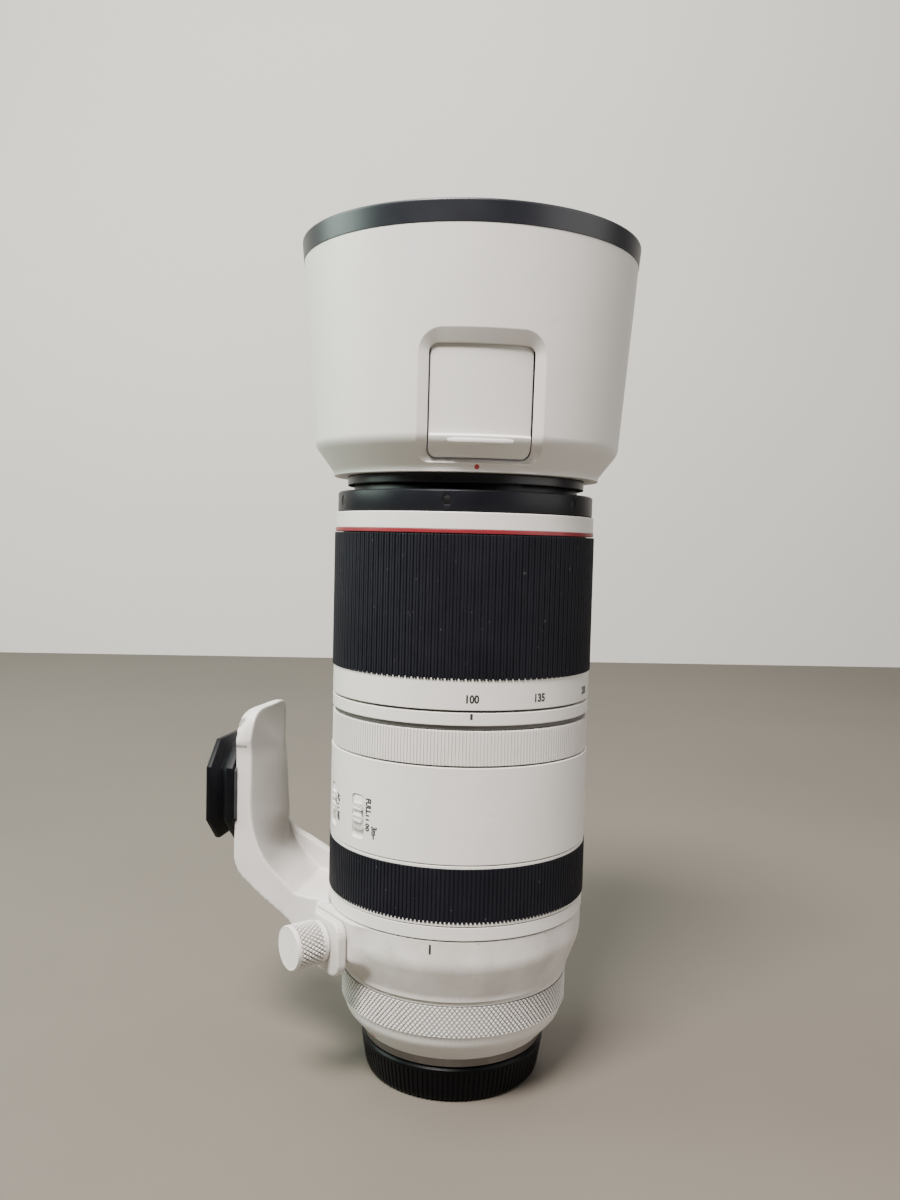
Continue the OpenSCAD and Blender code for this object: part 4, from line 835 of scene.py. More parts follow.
def cast_form(across, reach, z):
    """Moves a point of the plain foot to the casting's softer form, in the foot's own directions."""
    depth = foot_reach - reach
    share_in = eased(depth / foot_edge_t)
    arm_top = arm_z_start + (reach - arm_reach_start) * tan(arm_slope) + arm_t / cos(arm_slope)
    above = (z - arm_top) * cos(arm_slope)
    crown = crown_t * max(0.0, 1 - (across / foot_half_w) ** 2)
    past_edge = depth - foot_edge_t
    past_face = past_edge - crown
    raised = min(max(past_edge, 0.0), crown) * (1 - eased((past_edge - crown_t) / crown_fade))
    low_share = max(0.0, min(1.0, (arch_z + arch_r - z) / plate_rise))
    fullness = 0.75 * eased(low_share) - 0.5 * eased(1 - 2.2 * low_share)
    move_in = raised * eased(above / crown_rise) * fullness
    along = (max(above, 0.0) + max(past_face, 0.0)) / cos(arm_slope)
    weight = (1 - eased(-past_face / foot_edge_t)) * (1 - eased(-above / arm_t))
    if along < bend_length and reach > bend_from:
        push = bend_length * ((1 - along / bend_length) / 2) ** 2 * weight
        move_in += push * cos(arm_slope)
        z += push * (1 - sin(arm_slope))
    rise = z - arch_z
    if rise > 0:
        power = arch_power + arch_power_gain * share_in
        out = sqrt(across * across + rise * rise) or 1e-9
        square = (abs(across / out) ** power + (rise / out) ** power) ** (-1 / power)
        across *= square
        z = arch_z + rise * square - crest_drop * (1 - share_in) * eased(rise / arch_r)
    straightening = 1.3 - 0.6 * eased((z - lean_low) / lean_rise)
    move_out = lean * eased((reach - lean_from) / lean_fade) * straightening
    return across, foot_reach - depth - move_in + move_out, z


foot_detail = 0.45 * mm
foot_mesh = cast_copy("tripod_foot", foot_detail, 3)
foot_turn = Matrix.Rotation(foot_azimuth, 3, "Z")
foot_back = foot_turn.inverted()
for vertex in foot_mesh.vertices:
    local = foot_back @ vertex.co
    across, reach, z = cast_form(local.x, -local.y, local.z)
    vertex.co = foot_turn @ Vector((across, -reach, z))
foot_mesh = eased_mesh(foot_mesh, 7)
# Painted shade on faces that look inwards to the barrel, past 60 mm out, plus real paint chips near the top
# edge.
inward = foot_turn @ Vector((0, 1, 0))
chip_reach = 76.3 * mm
shade_from = 60 * mm
shade_fade = 8 * mm
foot_shade_and_chips = []
for vertex in foot_mesh.vertices:
    local = foot_back @ vertex.co
    inner_face_shade = eased((vertex.normal @ inward - 0.25) / 0.6) * eased((-local.y - shade_from) / shade_fade)
    chip = 0
    for place, size in foot_chips:
        distance = (Vector((local.x, local.z)) - Vector(place) * mm).length
        if -local.y > chip_reach:
            chip = max(chip, 1 - eased(distance / (size * mm) - 0.4))
    foot_shade_and_chips.append(max(0.7 * inner_face_shade, 1.4 * chip))
mark_recess(foot_mesh, foot_shade_and_chips)
piece_of("foot_casting", foot_mesh, foot_paint, "collar", "white_paint", "tripod_foot")

# Clamp knob
# A painted metal knob with a coarse diamond knurl and a flat end face. Its threaded stud pulls the
# foot's flange against the collar's pad.
knob_columns = 30
knob_r = 7.7 * mm
flange_t = 3.5 * mm
knob_gap = 0.3 * mm
knob_from = pad_face + flange_t + 2 * knob_gap
knob_to = knob_from + 12.6 * mm
knob_neck = 2.2 * mm
knob_rim = 1.6 * mm
knob_waist_r = knob_r - 0.9 * mm
knob_dish = 0.12 * mm
knob_neck_r = knob_r - 0.6 * mm
knob_shoulder_r = knob_r - 0.5 * mm
knob_rim_r = knob_r - 0.1 * mm
knob_dish_r = knob_r - 1.0 * mm
knob_step = 0.3 * mm
knob_neck_soft = 0.4 * mm
knob_rim_soft = 0.5 * mm
stud_r = 2.3 * mm
stud_tip = 41 * mm
knob_axis = Matrix.Translation((knob_shift, 0, knob_z)) @ Matrix.Rotation(pi / 2, 4, "X")
knob_frame = Matrix.Rotation(knob_azimuth, 4, "Z") @ knob_axis
# The knurl's grooves carry painted shade in a mid grey.
knob_paint = finish_of("knob_paint", (0.70, 0.675, 0.64), (0.65, 0.625, 0.59),
                       roughness=(0.38, 0.5), grain_size=0.35, grain_height=0.012, patch_size=10,
                       recess_colour=(0.36, 0.34, 0.315))
knob_bore_r = 3 * mm
knob_groove = 0.65 * mm
knob_slant = radians(36)
knob_flat_share = 0.44
knob_slice = knurl_slice(knob_columns, knob_r, knob_bore_r, knob_from + knob_neck, knob_to - knob_rim,
                         knob_groove, knob_slant, knob_flat_share)
knob_mesh = set_around(knob_slice, knob_columns, knob_paint, 25)
knob_mesh.transform(knob_frame)
piece_of("knob_grip", knob_mesh, knob_paint, "knob", "white_paint", "clamp_knob")
knob_core = turned([
    (0, stud_tip, 0),
    (stud_r, stud_tip, soft_edge),
    (stud_r, knob_from, 0),
    (knob_neck_r, knob_from, knob_neck_soft),
    (knob_shoulder_r, knob_from + knob_neck, crisp_edge),
    (knob_waist_r, knob_from + knob_neck + knob_step, 0),
    (knob_waist_r, knob_to - knob_rim - knob_step, 0),
    (knob_rim_r, knob_to - knob_rim, crisp_edge),
    (knob_rim_r, knob_to, knob_rim_soft),
    (knob_dish_r, knob_to - knob_dish, fine_edge),
    (0, knob_to - knob_dish, 0),
], 96)
knob_core.transform(knob_frame)
piece_of("knob_core", knob_core, white_paint, "knob", "white_paint")

# Quick release plate
# A square black anodised plate with cut corners and a V groove around its edge for the clamp's jaws. A
# thin rubber pad lies between it and the foot, and a socket screw holds it.
plate_black = finish_of("black_anodised", (0.0014, 0.0014, 0.0024), (0.003, 0.003, 0.0045),
                        roughness=(0.42, 0.55), grain_size=0.2, grain_height=0.006, patch_size=10,
                        sheen=0.15)
pad_rubber = finish_of("pad_rubber", (0.02, 0.02, 0.022), (0.03, 0.03, 0.032),
                       roughness=(0.65, 0.8), grain_size=0.4, grain_height=0.03, patch_size=6)


def broken_edges(node, name, width, material, body, slot):
    """A CAD node's solid as a finished piece with its sharp edges broken."""
    mesh = merged_copy(node)
    shape = bmesh.new()
    shape.from_mesh(mesh)
    bmesh.ops.dissolve_limit(shape, angle_limit=radians(1.0), verts=shape.verts, edges=shape.edges)
    carrier = placed("carrier", mesh_from(shape, mesh))
    bevel = carrier.modifiers.new("broken_edges", "BEVEL")
    bevel.width = width
    bevel.segments = 2
    bevel.limit_method = "ANGLE"
    bevel.angle_limit = radians(35)
    bevel.harden_normals = False
    piece_of(name, kept_crisp(plain_mesh(carrier), 35), material, body, slot, node)


plate_edge = 0.35 * mm
broken_edges("foot_plate", "release_plate", plate_edge, plate_black, "collar", "black_paint")
broken_edges("plate_pad", "release_pad", fine_edge, pad_rubber, "collar", "grip_rubber")
broken_edges("plate_screw", "release_screw", fine_edge, steel_finish, "collar", "steel")

# Focus section
# A short white shoulder closes the collar. The focus ring behind the body shell is a painted ring with
# a moulded rubber grip of fine upright ribs.
grip_rubber = finish_of("grip_rubber", (0.0035, 0.0037, 0.0070), (0.0062, 0.0064, 0.0105),
                        roughness=(0.52, 0.68), grain_size=0.3, grain_height=0.02, patch_size=14,
                        sheen=0.22, specks=0.35, speck_colour=(0.11, 0.11, 0.12))
focus_ribs = 205
ring_gap = 0.15 * mm
shoulder_wall = 2.5 * mm
focus_teeth = 0.4 * mm
shoulder_r, shoulder_low, shoulder_high = ring_size("shoulder_ring")
shoulder_mesh = band(shoulder_r, shoulder_wall, shoulder_low + ring_gap, shoulder_high, edge, edge)
piece_of("shoulder_band", shoulder_mesh, white_paint, "barrel", "white_paint", "shoulder_ring")
focus_r, focus_low, focus_high = ring_size("focus_ring")
rubber_r, rubber_low, rubber_high = ring_size("focus_rubber")
ring_wall = 2.3 * mm
rubber_seat = 1.2 * mm
focus_mesh = turned([
    (focus_r - ring_wall, focus_low, 0),
    (focus_r, focus_low, edge),
    (focus_r, rubber_low + focus_teeth, hair_edge),
    (focus_r - rubber_seat, rubber_low + focus_teeth, 0),
    (focus_r - rubber_seat, rubber_high, 0),
    (focus_r, rubber_high, crisp_edge),
    (focus_r, focus_high, edge),
    (focus_r - ring_wall, focus_high, 0),
])
piece_of("focus_ring_body", focus_mesh, white_paint, "focus", "white_paint", "focus_ring")
focus_groove = 0.42 * mm
rubber_t = 1.3 * mm
focus_grip_edge = 0.15 * mm
focus_grip_proud = 0.1 * mm


def rubber_grip(name, inner_r, outer_r, low, high, easing, groove, wave, count, teeth, body, node):
    """A moulded rubber grip of upright ribs, whose grooves end short of the lower edge."""
    grip = ribbed([
        (inner_r, low, 0, 0),
        (outer_r, low, easing, groove),
        (outer_r, high, easing, groove),
        (inner_r, high, 0, 0),
    ], wave, count, grip_rubber, teeth=teeth * 1.3)
    piece_of(name, grip, grip_rubber, body, "grip_rubber", node)


rubber_grip("focus_grip", rubber_r - rubber_t, rubber_r + focus_grip_proud, rubber_low, rubber_high,
            focus_grip_edge, focus_groove, rib_wave_shares, focus_ribs, focus_teeth, "focus", "focus_rubber")

# Cells, rods, motors and pins inside
# Moulded black cells carry the sliding groups, the stabilizer and the iris. Steel rods guide the focus
# groups, linear motors drive them, and brass pins follow the zoom's cam slots.
dress(moulded_black, "rear_focus_cell", "front_focus_cell", "iris_housing", "stabilizer_housing",
      "stabilizer_cell", "zoom_cell")
dress(steel_finish, "guide_rods", "focus_motors", "iris_blades", "drive_screws")
dress(brass_finish, "follower_pins")

# Body shell
# A turned shell, painted warm white, with four slots in a row on its left for the switches. Ticks and
# legends beside each slot are printed in dark grey.
shell_r, shell_low, shell_high = ring_size("body_shell")
shell_t = 1.8 * mm
switch_azimuths = [radians(-51.3 - 23.4 * i) for i in range(4)]
switch_height_share = 0.36
switch_z = shell_low + (shell_high - shell_low) * switch_height_share
slot_w = 6.4 * mm
slot_h = 14.8 * mm
slot_d = 1.2 * mm
slot_round = 1.6 * mm
slot_bevel = 0.5 * mm
shell_mesh = band(shell_r, shell_t, shell_low, shell_high - ring_gap, edge, edge, 360)


def round_outline(half_w, half_h, r, steps=6):
    """Points around a rectangle with round corners, as (across, up)."""
    points = []
    for cx, cy, start in ((1, -1, -90), (1, 1, 0), (-1, 1, 90), (-1, -1, 180)):
        for k in range(steps + 1):
            angle = radians(start + 90 * k / steps)
            points.append((cx * (half_w - r) + r * cos(angle), cy * (half_h - r) + r * sin(angle)))
    return points


def round_prism(half_w, half_h, r, azimuth, z, levels):
    """A rounded bar that points outwards; levels are (reach, growth of its outline)."""
    loops = []
    for reach, grow in levels:
        loop = []
        for across, rise in round_outline(half_w + grow, half_h + grow, max(r + grow, hair_edge)):
            point = Vector((across, -sqrt(reach * reach - across * across), z + rise))
            point.rotate(Matrix.Rotation(azimuth, 3, "Z"))
            loop.append(point)
        loops.append(loop)
    return ends_closed(loops_to_mesh(loops, closed_way=False))


def cut_from(mesh, cutters, sharp=35):
    """Takes the cutters' volumes out of a mesh."""
    carrier = placed("carrier", mesh)
    tools = [placed("cutter", cutter) for cutter in cutters]
    for tool in tools:
        taken = carrier.modifiers.new("cut", "BOOLEAN")
        taken.operation = "DIFFERENCE"
        taken.solver = "EXACT"
        taken.object = tool
    made = plain_mesh(carrier)
    for tool in tools:
        bpy.data.objects.remove(tool)
    return kept_crisp(made, sharp)


bevel_low = shell_r - 0.22 * mm
bevel_high = shell_r + 0.28 * mm
slot_clear = 2 * mm
slit_half_w = 1.4 * mm
slit_half_h = 3.1 * mm
slit_round = 1.1 * mm
slit_d = 4 * mm
slit_overlap = 0.1 * mm
slot_levels = [(shell_r - slot_d, 0), (bevel_low, 0), (bevel_high, slot_bevel),
               (shell_r + slot_clear, slot_bevel)]
slit_levels = [(shell_r - slit_d, 0), (shell_r - slot_d + slit_overlap, 0)]
slot_cutters = []
for azimuth in switch_azimuths:
    slot_cutters.append(round_prism(slot_w / 2, slot_h / 2, slot_round, azimuth, switch_z, slot_levels))
    slot_cutters.append(round_prism(slit_half_w, slit_half_h, slit_round, azimuth, switch_z, slit_levels))
shell_mesh = cut_from(shell_mesh, slot_cutters)
piece_of("body_shell_skin", shell_mesh, white_paint, "barrel", "white_paint", "body_shell")

# Switch sliders
# Four moulded plastic sliders in the shell's slots, each with cross ribs for the thumb and a black line
# that points at the printed ticks. Each rides on a shank that goes through the shell.
slider_plastic = finish_of("slider_plastic", (0.68, 0.66, 0.625), (0.63, 0.61, 0.575),
                           roughness=(0.35, 0.45), grain_size=0.3, grain_height=0.006, patch_size=6)
rib_places = (3.0 * mm, 1.3 * mm, -1.2 * mm, -2.9 * mm)
rib_half_w = 2.3 * mm
rib_half_h = 0.5 * mm
rib_round = 0.3 * mm
rib_foot = shell_r - 1.1 * mm
rib_knee = shell_r + 0.2 * mm
rib_top = shell_r + 0.4 * mm
rib_spread = 0.1 * mm
rib_draft = 0.2 * mm
rib_levels = [(rib_foot, rib_spread), (rib_knee, 0), (rib_top, -rib_draft)]
slider_edge = 0.12 * mm
stem_w = 0.5 * mm
stem_low = -1.6 * mm
stem_high = 1.0 * mm
line_w = 2.0 * mm
line_low = 0.6 * mm
line_high = 1.1 * mm
line_turn = 1.6 * mm / shell_r
stem_turn = 2.35 * mm / shell_r
slider_face = shell_r - 0.1 * mm
sliders = [("range_switch", "range_slider"), ("focus_mode_switch", "focus_mode_slider"),
           ("stabilizer_switch", "stabilizer_slider"), ("stabilizer_mode_switch", "stabilizer_mode_slider")]
for (node, body), azimuth in zip(sliders, switch_azimuths):
    broken_edges(node, node + "_slider", slider_edge, slider_plastic, body, "switch_plastic")
    low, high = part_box(node)
    middle = (low.z + high.z) / 2
    for k, rise in enumerate(rib_places):
        rib = round_prism(rib_half_w, rib_half_h, rib_round, azimuth, middle + rise, rib_levels)
        piece_of("%s_rib_%d" % (node, k + 1), tidy_mesh(rib, 40), slider_plastic, body, "switch_plastic")
    printed_bar(node + "_stem", azimuth + stem_turn, middle + stem_low, middle + stem_high, stem_w,
                slider_face, body)
    printed_bar(node + "_line", azimuth + line_turn, middle + line_low, middle + line_high, line_w,
                slider_face, body)

# Printed legends
# Pad printed in dark grey: plain words and figures beside the switches and on the zoom ring. The text
# beside the switches runs downwards.
legend_grey = finish_of("grey_print", (0.018, 0.017, 0.017), (0.03, 0.028, 0.027),
                        roughness=(0.45, 0.6), grain_size=0.15, grain_height=0.003, patch_size=4)


def printed_text(name, words, azimuth, z, height, reach, body, downwards=False, squeeze=0.86, bold=0.06):
    """Words as thin ink on a cylinder, centred on an azimuth and a height."""
    curve = bpy.data.curves.new(name, "FONT")
    curve.body = words
    curve.align_x = "CENTER"
    curve.align_y = "CENTER"
    curve.size = height / 0.72
    curve.extrude = ink_t
    curve.offset = height * bold
    curve.resolution_u = 3
    mesh = plain_mesh(placed(name, curve))
    for vertex in mesh.vertices:
        x, y, depth = vertex.co
        x *= squeeze
        across, rise = (y, -x) if downwards else (x, y)
        vertex.co = around(azimuth + across / reach, reach + depth, z + rise)
    shape = bmesh.new()
    shape.from_mesh(mesh)
    bmesh.ops.remove_doubles(shape, verts=shape.verts, dist=1e-7)
    bmesh.ops.recalc_face_normals(shape, faces=shape.faces)
    piece_of(name, mesh_from(shape, mesh), legend_grey, body, "black_plastic")


legend_h = 2.35 * mm
legend_gap = slot_w / 2 + 2.2 * mm
tick_gap = legend_gap - 0.3 * mm
tick_half = 0.28 * mm
tick_w = 1.6 * mm
# Each legend is (word, rise above the slot's middle, step away from the slot) in millimetres.
legends = [
    [("FULL", 4.4, 0), ("oo", -2.9, 0), ("3m–", -4.3, 2.8)],
    [("AF", 3.6, 0), ("MF", -3.0, 0)],
    [("ON", 3.6, 0), ("OFF", -3.4, 0)],
    [("1", 4.8, 0), ("2", 0.6, 0), ("3", -3.8, 0)],
]
ticks = [(1.1, -0.3), (1.1, -0.3), (1.1, -0.3), (2.6, 0, -2.6)]
for number, azimuth in enumerate(switch_azimuths):
    for k, (word, rise, step) in enumerate(legends[number]):
        turn = azimuth + (legend_gap + step * mm) / shell_r
        printed_text("legend_%d_%d" % (number + 1, k + 1), word, turn, switch_z + rise * mm, legend_h,
                     shell_r, "barrel", downwards=True, squeeze=0.75, bold=0.075)
    for k, rise in enumerate(ticks[number]):
        tick_z = switch_z + rise * mm
        printed_bar("tick_%d_%d" % (number + 1, k + 1), azimuth + tick_gap / shell_r, tick_z - tick_half,
                    tick_z + tick_half, tick_w, shell_r, "barrel")

# Tension ring
# A turned ring with shallow upright ribs, painted like the barrel, that sets how stiffly the zoom
# turns. It runs on the barrel between the body shell and the index band.
tension_ribs = 250
tension_r, tension_low, tension_high = ring_size("tension_ring")
flat_wave_shares = [(0, 1), (0.12, 1), (0.22, 0.5), (0.32, 0), (0.68, 0), (0.78, 0.5), (0.88, 1), (1, 1)]
tension_wall = 2.2 * mm
tension_groove = 0.36 * mm
# The ribs' flanks carry painted shade in a light grey.
tension_paint = finish_of("ribbed_paint", (0.69, 0.665, 0.63), (0.655, 0.63, 0.595),
                          roughness=(0.40, 0.50), grain_size=0.35, grain_height=0.012, patch_size=16,
                          recess_colour=(0.42, 0.39, 0.36))
tension_mesh = ribbed([
    (tension_r - tension_wall, tension_low + ring_gap, 0, 0),
    (tension_r, tension_low + ring_gap, fine_edge, tension_groove),
    (tension_r, tension_high, soft_edge, tension_groove),
    (tension_r - tension_wall, tension_high, 0, 0),
], flat_wave_shares, tension_ribs, tension_paint, flanks=True)
piece_of("tension_grip", tension_mesh, tension_paint, "tension", "white_paint", "tension_ring")

# Index band
# A turned band, painted like the barrel and fixed to it, above a wide grey groove. It carries the
# printed line against which the zoom figures are read.
index_r, index_low, index_high = ring_size("index_ring")
groove_top = index_low + 1.45 * mm
zoom_gap = 0.25 * mm
index_wall = 2.6 * mm
groove_d = 0.9 * mm
groove_overlap = 0.1 * mm
groove_grey = finish_of("groove_grey", (0.13, 0.125, 0.12), (0.11, 0.105, 0.10),
                        roughness=(0.5, 0.6), grain_size=0.3, grain_height=0.01, patch_size=8)
index_mesh = band(index_r, index_wall, groove_top, index_high - zoom_gap, soft_edge, edge)
piece_of("index_band", index_mesh, white_paint, "barrel", "white_paint", "index_ring")
groove_mesh = band(index_r - groove_d, index_wall - groove_d, index_low, groove_top + groove_overlap,
                   crisp_edge, 0)
piece_of("index_groove", groove_mesh, groove_grey, "barrel", "white_paint")
index_line_low = 136.9 * mm
index_line_high = 138.9 * mm
index_line_w = 0.85 * mm
printed_bar("index_line", 0, index_line_low, index_line_high, index_line_w, index_r, "barrel")

# Zoom ring
# The wide ring that moves the front barrel. Its painted band carries plain figures for the zoom
# setting, and a thick rubber grip with ribs in pairs covers the rest.
zoom_rib_pairs = 130
zoom_r, zoom_low, zoom_high = ring_size("zoom_ring")
grip_r, grip_low, grip_high = ring_size("zoom_rubber")
grip_teeth = 0.45 * mm
zoom_mesh = turned([
    (zoom_r - ring_wall, zoom_low + zoom_gap, 0),
    (zoom_r, zoom_low + zoom_gap, edge),
    (zoom_r, grip_low + grip_teeth, hair_edge),
    (zoom_r - rubber_seat, grip_low + grip_teeth, 0),
    (zoom_r - rubber_seat, zoom_high, 0),
    (zoom_r - ring_wall, zoom_high, 0),
])
piece_of("zoom_ring_body", zoom_mesh, white_paint, "zoom", "white_paint", "zoom_ring")
pair_wave_shares = [(0, 1), (0.08, 1), (0.14, 0.15), (0.19, 0), (0.40, 0), (0.45, 0.15), (0.49, 0.7),
                    (0.52, 0.7), (0.56, 0.15), (0.61, 0), (0.82, 0), (0.87, 0.15), (0.93, 1), (1, 1)]
zoom_groove = 0.5 * mm
zoom_grip_r = grip_r + 0.3 * mm
rubber_grip("zoom_grip", grip_r - rubber_t, zoom_grip_r, grip_low, grip_high, fine_edge, zoom_groove,
            pair_wave_shares, zoom_rib_pairs, grip_teeth, "zoom", "zoom_rubber")
scale_z = 143.5 * mm
scale_h = 2.65 * mm
for figure, degrees in (("100", 0), ("135", 29.6), ("200", 63.4), ("300", 88), ("400", 104), ("500", 115)):
    printed_text("scale_" + figure, figure, radians(degrees), scale_z, scale_h, zoom_r, "zoom")

# Red ring and white front ring
# A narrow ring, lacquered red, and a plain ring, painted like the barrel, close the fixed barrel at the
# front. Both are turned aluminium.
red_lacquer = finish_of("red_lacquer", (0.215, 0.014, 0.022), (0.17, 0.011, 0.018),
                        roughness=(0.38, 0.5), grain_size=0.3, grain_height=0.004, patch_size=8, coat=0.1)
red_r, red_low, red_high = ring_size("red_ring")
red_proud = 0.1 * mm
red_wall = 2.6 * mm
red_mesh = band(red_r + red_proud, red_wall, red_low, red_high, fine_edge, fine_edge)
piece_of("red_line_ring", red_mesh, red_lacquer, "barrel", "red_paint", "red_ring")
front_r, _, front_high = ring_size("name_ring")
front_wall = 4.8 * mm
front_top_edge = 0.4 * mm
front_white_mesh = band(front_r, front_wall, red_high, front_high, edge, front_top_edge)
piece_of("front_white_ring", front_white_mesh, white_paint, "barrel", "white_paint", "name_ring")

# Sliding front barrel
# A white tube that comes out of the zoom ring, with a black lacquered front ring, six recessed screws
# and the neck that holds the filter thread and the hood's bayonet.
bezel_paint = finish_of("bezel_lacquer", (0.004, 0.0045, 0.0075), (0.007, 0.0075, 0.011),
                        roughness=(0.32, 0.44), grain_size=0.2, grain_height=0.005, patch_size=12,
                        sheen=0.3)
screw_black = finish_of("blackened_screws", (0.010, 0.010, 0.011), (0.02, 0.02, 0.02),
                        roughness=(0.35, 0.5), grain_size=0.2, grain_height=0.01, patch_size=3,
                        metallic=0.6)
screw_edge = 0.15 * mm
piece_of("slide_tube", merged_copy("extension_tube"), white_paint, "front", "white_paint", "extension_tube")
broken_edges("front_bezel", "front_ring", soft_edge, bezel_paint, "front", "black_paint")
broken_edges("bezel_screws", "front_ring_screws", screw_edge, screw_black, "front", "black_paint")

# Lens elements
# Ground and polished glass with a thin tinted coating. The elements sit in black cells and are seen
# only from the front.
glass = bpy.data.materials.new("coated_glass")
glass.use_nodes = True
glass_tree = glass.node_tree
glass_patches = grain_of(glass_tree, Patch_Size=25).outputs["Patches"]
glass_tint = mixed(glass_tree, glass_patches, (0.30, 0.44, 0.48, 1), (0.36, 0.32, 0.50, 1))
glass_gloss = node_in(glass_tree, "ShaderNodeMapRange", Value=glass_patches, To_Min=0.002, To_Max=0.008)
feed(glass_tree.nodes["Principled BSDF"], Base_Color=glass_tint, Roughness=glass_gloss.outputs["Result"],
     Metallic=0, Transmission_Weight=1, IOR=1.52, Coat_Weight=0.6, Coat_Roughness=0.02)
glass_nodes = [("rear_lenses", "barrel"), ("rear_focus_lens", "rear_focus"),
               ("front_focus_lens", "front_focus"), ("stabilizer_lens", "stabilizer"),
               ("zoom_lenses", "zoom_group"), ("front_lenses", "front")]
for node, body in glass_nodes:
    piece_of(node + "_glass", merged_copy(node), glass, body, "lens_glass", node)

# Hood shell
# A thin moulded shell, painted like the barrel: a chamfer rises from the base to a soft bend, then a
# long cone opens to the rim. A bevelled frame is moulded around the window for the filter door.
hood_paint = finish_of("hood_white", (0.70, 0.68, 0.645), (0.67, 0.65, 0.615),
                       roughness=(0.42, 0.50), grain_size=0.4, grain_height=0.010, patch_size=22)
hood_skin = 1.6 * mm
rim_overhang = 0.3 * mm
hood_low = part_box("hood_shell")[0].z
rim_r, rim_low, rim_high = ring_size("hood_rim")
hood_mouth_r = rim_r - rim_overhang
hood_base_r = 47.8 * mm
hood_bend_r = 54.5 * mm
hood_edge = hood_low + 1.2 * mm
hood_bend = hood_edge + 8.6 * mm
hood_cone_slope = (hood_mouth_r - hood_bend_r) / (rim_low - hood_bend)
hood_chamfer_slope = (hood_bend_r - hood_base_r) / (hood_bend - hood_edge)
bend_soft = 1.9 * mm
edge_soft = 0.9 * mm


def blend_slopes(z, knee, soft, slope_low, slope_high):
    """Reach gained past a knee whose two slopes meet in a parabola."""
    if z < knee - soft:
        return slope_low * (z - knee)
    if z > knee + soft:
        return slope_high * (z - knee)
    share = (z - knee + soft) / (2 * soft)
    return slope_low * (z - knee) + (slope_high - slope_low) * soft * share * share


def hood_reach(z):
    """Outer reach of the hood at a height, with a soft bend and a soft base edge."""
    past_edge = blend_slopes(z, hood_edge, edge_soft, 0, hood_chamfer_slope)
    past_bend = blend_slopes(z, hood_bend, bend_soft, 0, hood_cone_slope - hood_chamfer_slope)
    return hood_base_r + past_edge + past_bend


window_low = hood_low + 3.8 * mm
window_high = window_low + 35.4 * mm
window_half = 16.8 * mm
window_round = 3.2 * mm
window_head_round = window_round - 0.4 * mm
window_depth = 1.9 * mm
frame_lip = 0.06 * mm
frame_top = 4.6 * mm
frame_head_round = frame_top - 0.2 * mm
frame_side = 3.4 * mm
frame_foot = 1.2 * mm
patch_turn = radians(25)
hood_columns = 360
close_rows = 0.25 * mm
wide_rows = 1.4 * mm
patch_low = window_low - 1.9 * mm
patch_high = window_high + 9 * mm


def window_contour(share, steps=9, along=34):
    """The window's outline grown towards the outer edge of its frame, as (across, height)."""
    half = window_half + frame_side * share
    low = window_low - frame_foot * share
    high = window_high + frame_top * share
    foot_r = window_round + frame_foot * share
    head_r = window_head_round + frame_head_round * share
    foot_z = low + foot_r
    head_z = high - head_r
    corners = ((1, foot_z, foot_r, -90), (1, head_z, head_r, 0),
               (-1, head_z, head_r, 90), (-1, foot_z, foot_r, 180))
    arcs = []
    for side, z, r, start in corners:
        angles = [radians(start + 90 * k / steps) for k in range(steps + 1)]
        arcs.append([Vector((side * (half - r) + r * cos(a), z + r * sin(a))) for a in angles])
    points = []
    for arc, following in zip(arcs, arcs[1:] + arcs[:1]):
        points += arc
        points += [arc[-1].lerp(following[0], k / along) for k in range(1, along)]
    return points


def on_hood(across, z, depth):
    """The point at a depth below the hood's outer surface."""
    reach = hood_reach(z) - depth
    return Vector((across, -sqrt(max(reach * reach - across * across, 0)), z))


def hood_rows(low, high):
    """Heights for the hood's rows: close together round the soft edge and the bend."""
    heights = [low]
    z = low
    while z < high - 1e-9:
        near = min(abs(z - hood_bend) / (bend_soft * 1.4), abs(z - hood_edge) / (edge_soft * 1.6))
        z += close_rows if near < 1 else wide_rows
        heights.append(min(z, high))
    return heights


def hood_surface(shape, depth):
    """The turned surface at one depth, with a gap where the window's patch goes."""
    low = hood_low if depth == 0 else hood_low + hood_skin
    rows = sorted(set(hood_rows(low, rim_low) + [patch_low, patch_high]))
    turns = [2 * pi * i / hood_columns for i in range(hood_columns)]
    grid = [[shape.verts.new(around(turn, hood_reach(z) - depth, z)) for turn in turns] for z in rows]
    for j in range(len(rows) - 1):
        inside_rows = patch_low - 1e-9 <= rows[j] and rows[j + 1] <= patch_high + 1e-9
        for i in range(hood_columns):
            n = (i + 1) % hood_columns
            middle = 2 * pi * (i + 0.5) / hood_columns
            middle = middle - 2 * pi if middle > pi else middle
            if inside_rows and abs(middle) < patch_turn:
                continue
            shape.faces.new((grid[j][i], grid[j][n], grid[j + 1][n], grid[j + 1][i]))
    return grid


def patch_rim(shape):
    """Edges around the patch's gap on the surface just made."""

    def near_patch(point):
        aside = abs(atan2(point.x, -point.y))
        return patch_low - 1e-7 <= point.z <= patch_high + 1e-7 and aside < patch_turn + radians(0.6)

    return [e for e in shape.edges if e.is_boundary and all(near_patch(v.co) for v in e.verts)]


def close_row(shape, lower, upper):
    """Quads between two equal closed rows of points."""
    for k in range(len(lower)):
        n = (k + 1) % len(lower)
        shape.faces.new((lower[k], lower[n], upper[n], upper[k]))


def add_patch(shape, rim, levels):
    """Lofts the window's contours at (share, depth) and bridges the outermost to the gap's rim.

    Gives the innermost row."""
    rows = []
    for share, depth in levels:
        rows.append([shape.verts.new(on_hood(p.x, p.y, depth)) for p in window_contour(share)])
    for lower, upper in zip(rows, rows[1:]):
        close_row(shape, lower, upper)
    outermost = rows[0]
    outer = [shape.edges.get((a, b)) for a, b in zip(outermost, outermost[1:] + outermost[:1])]
    bmesh.ops.bridge_loops(shape, edges=rim + outer)
    return rows[-1]


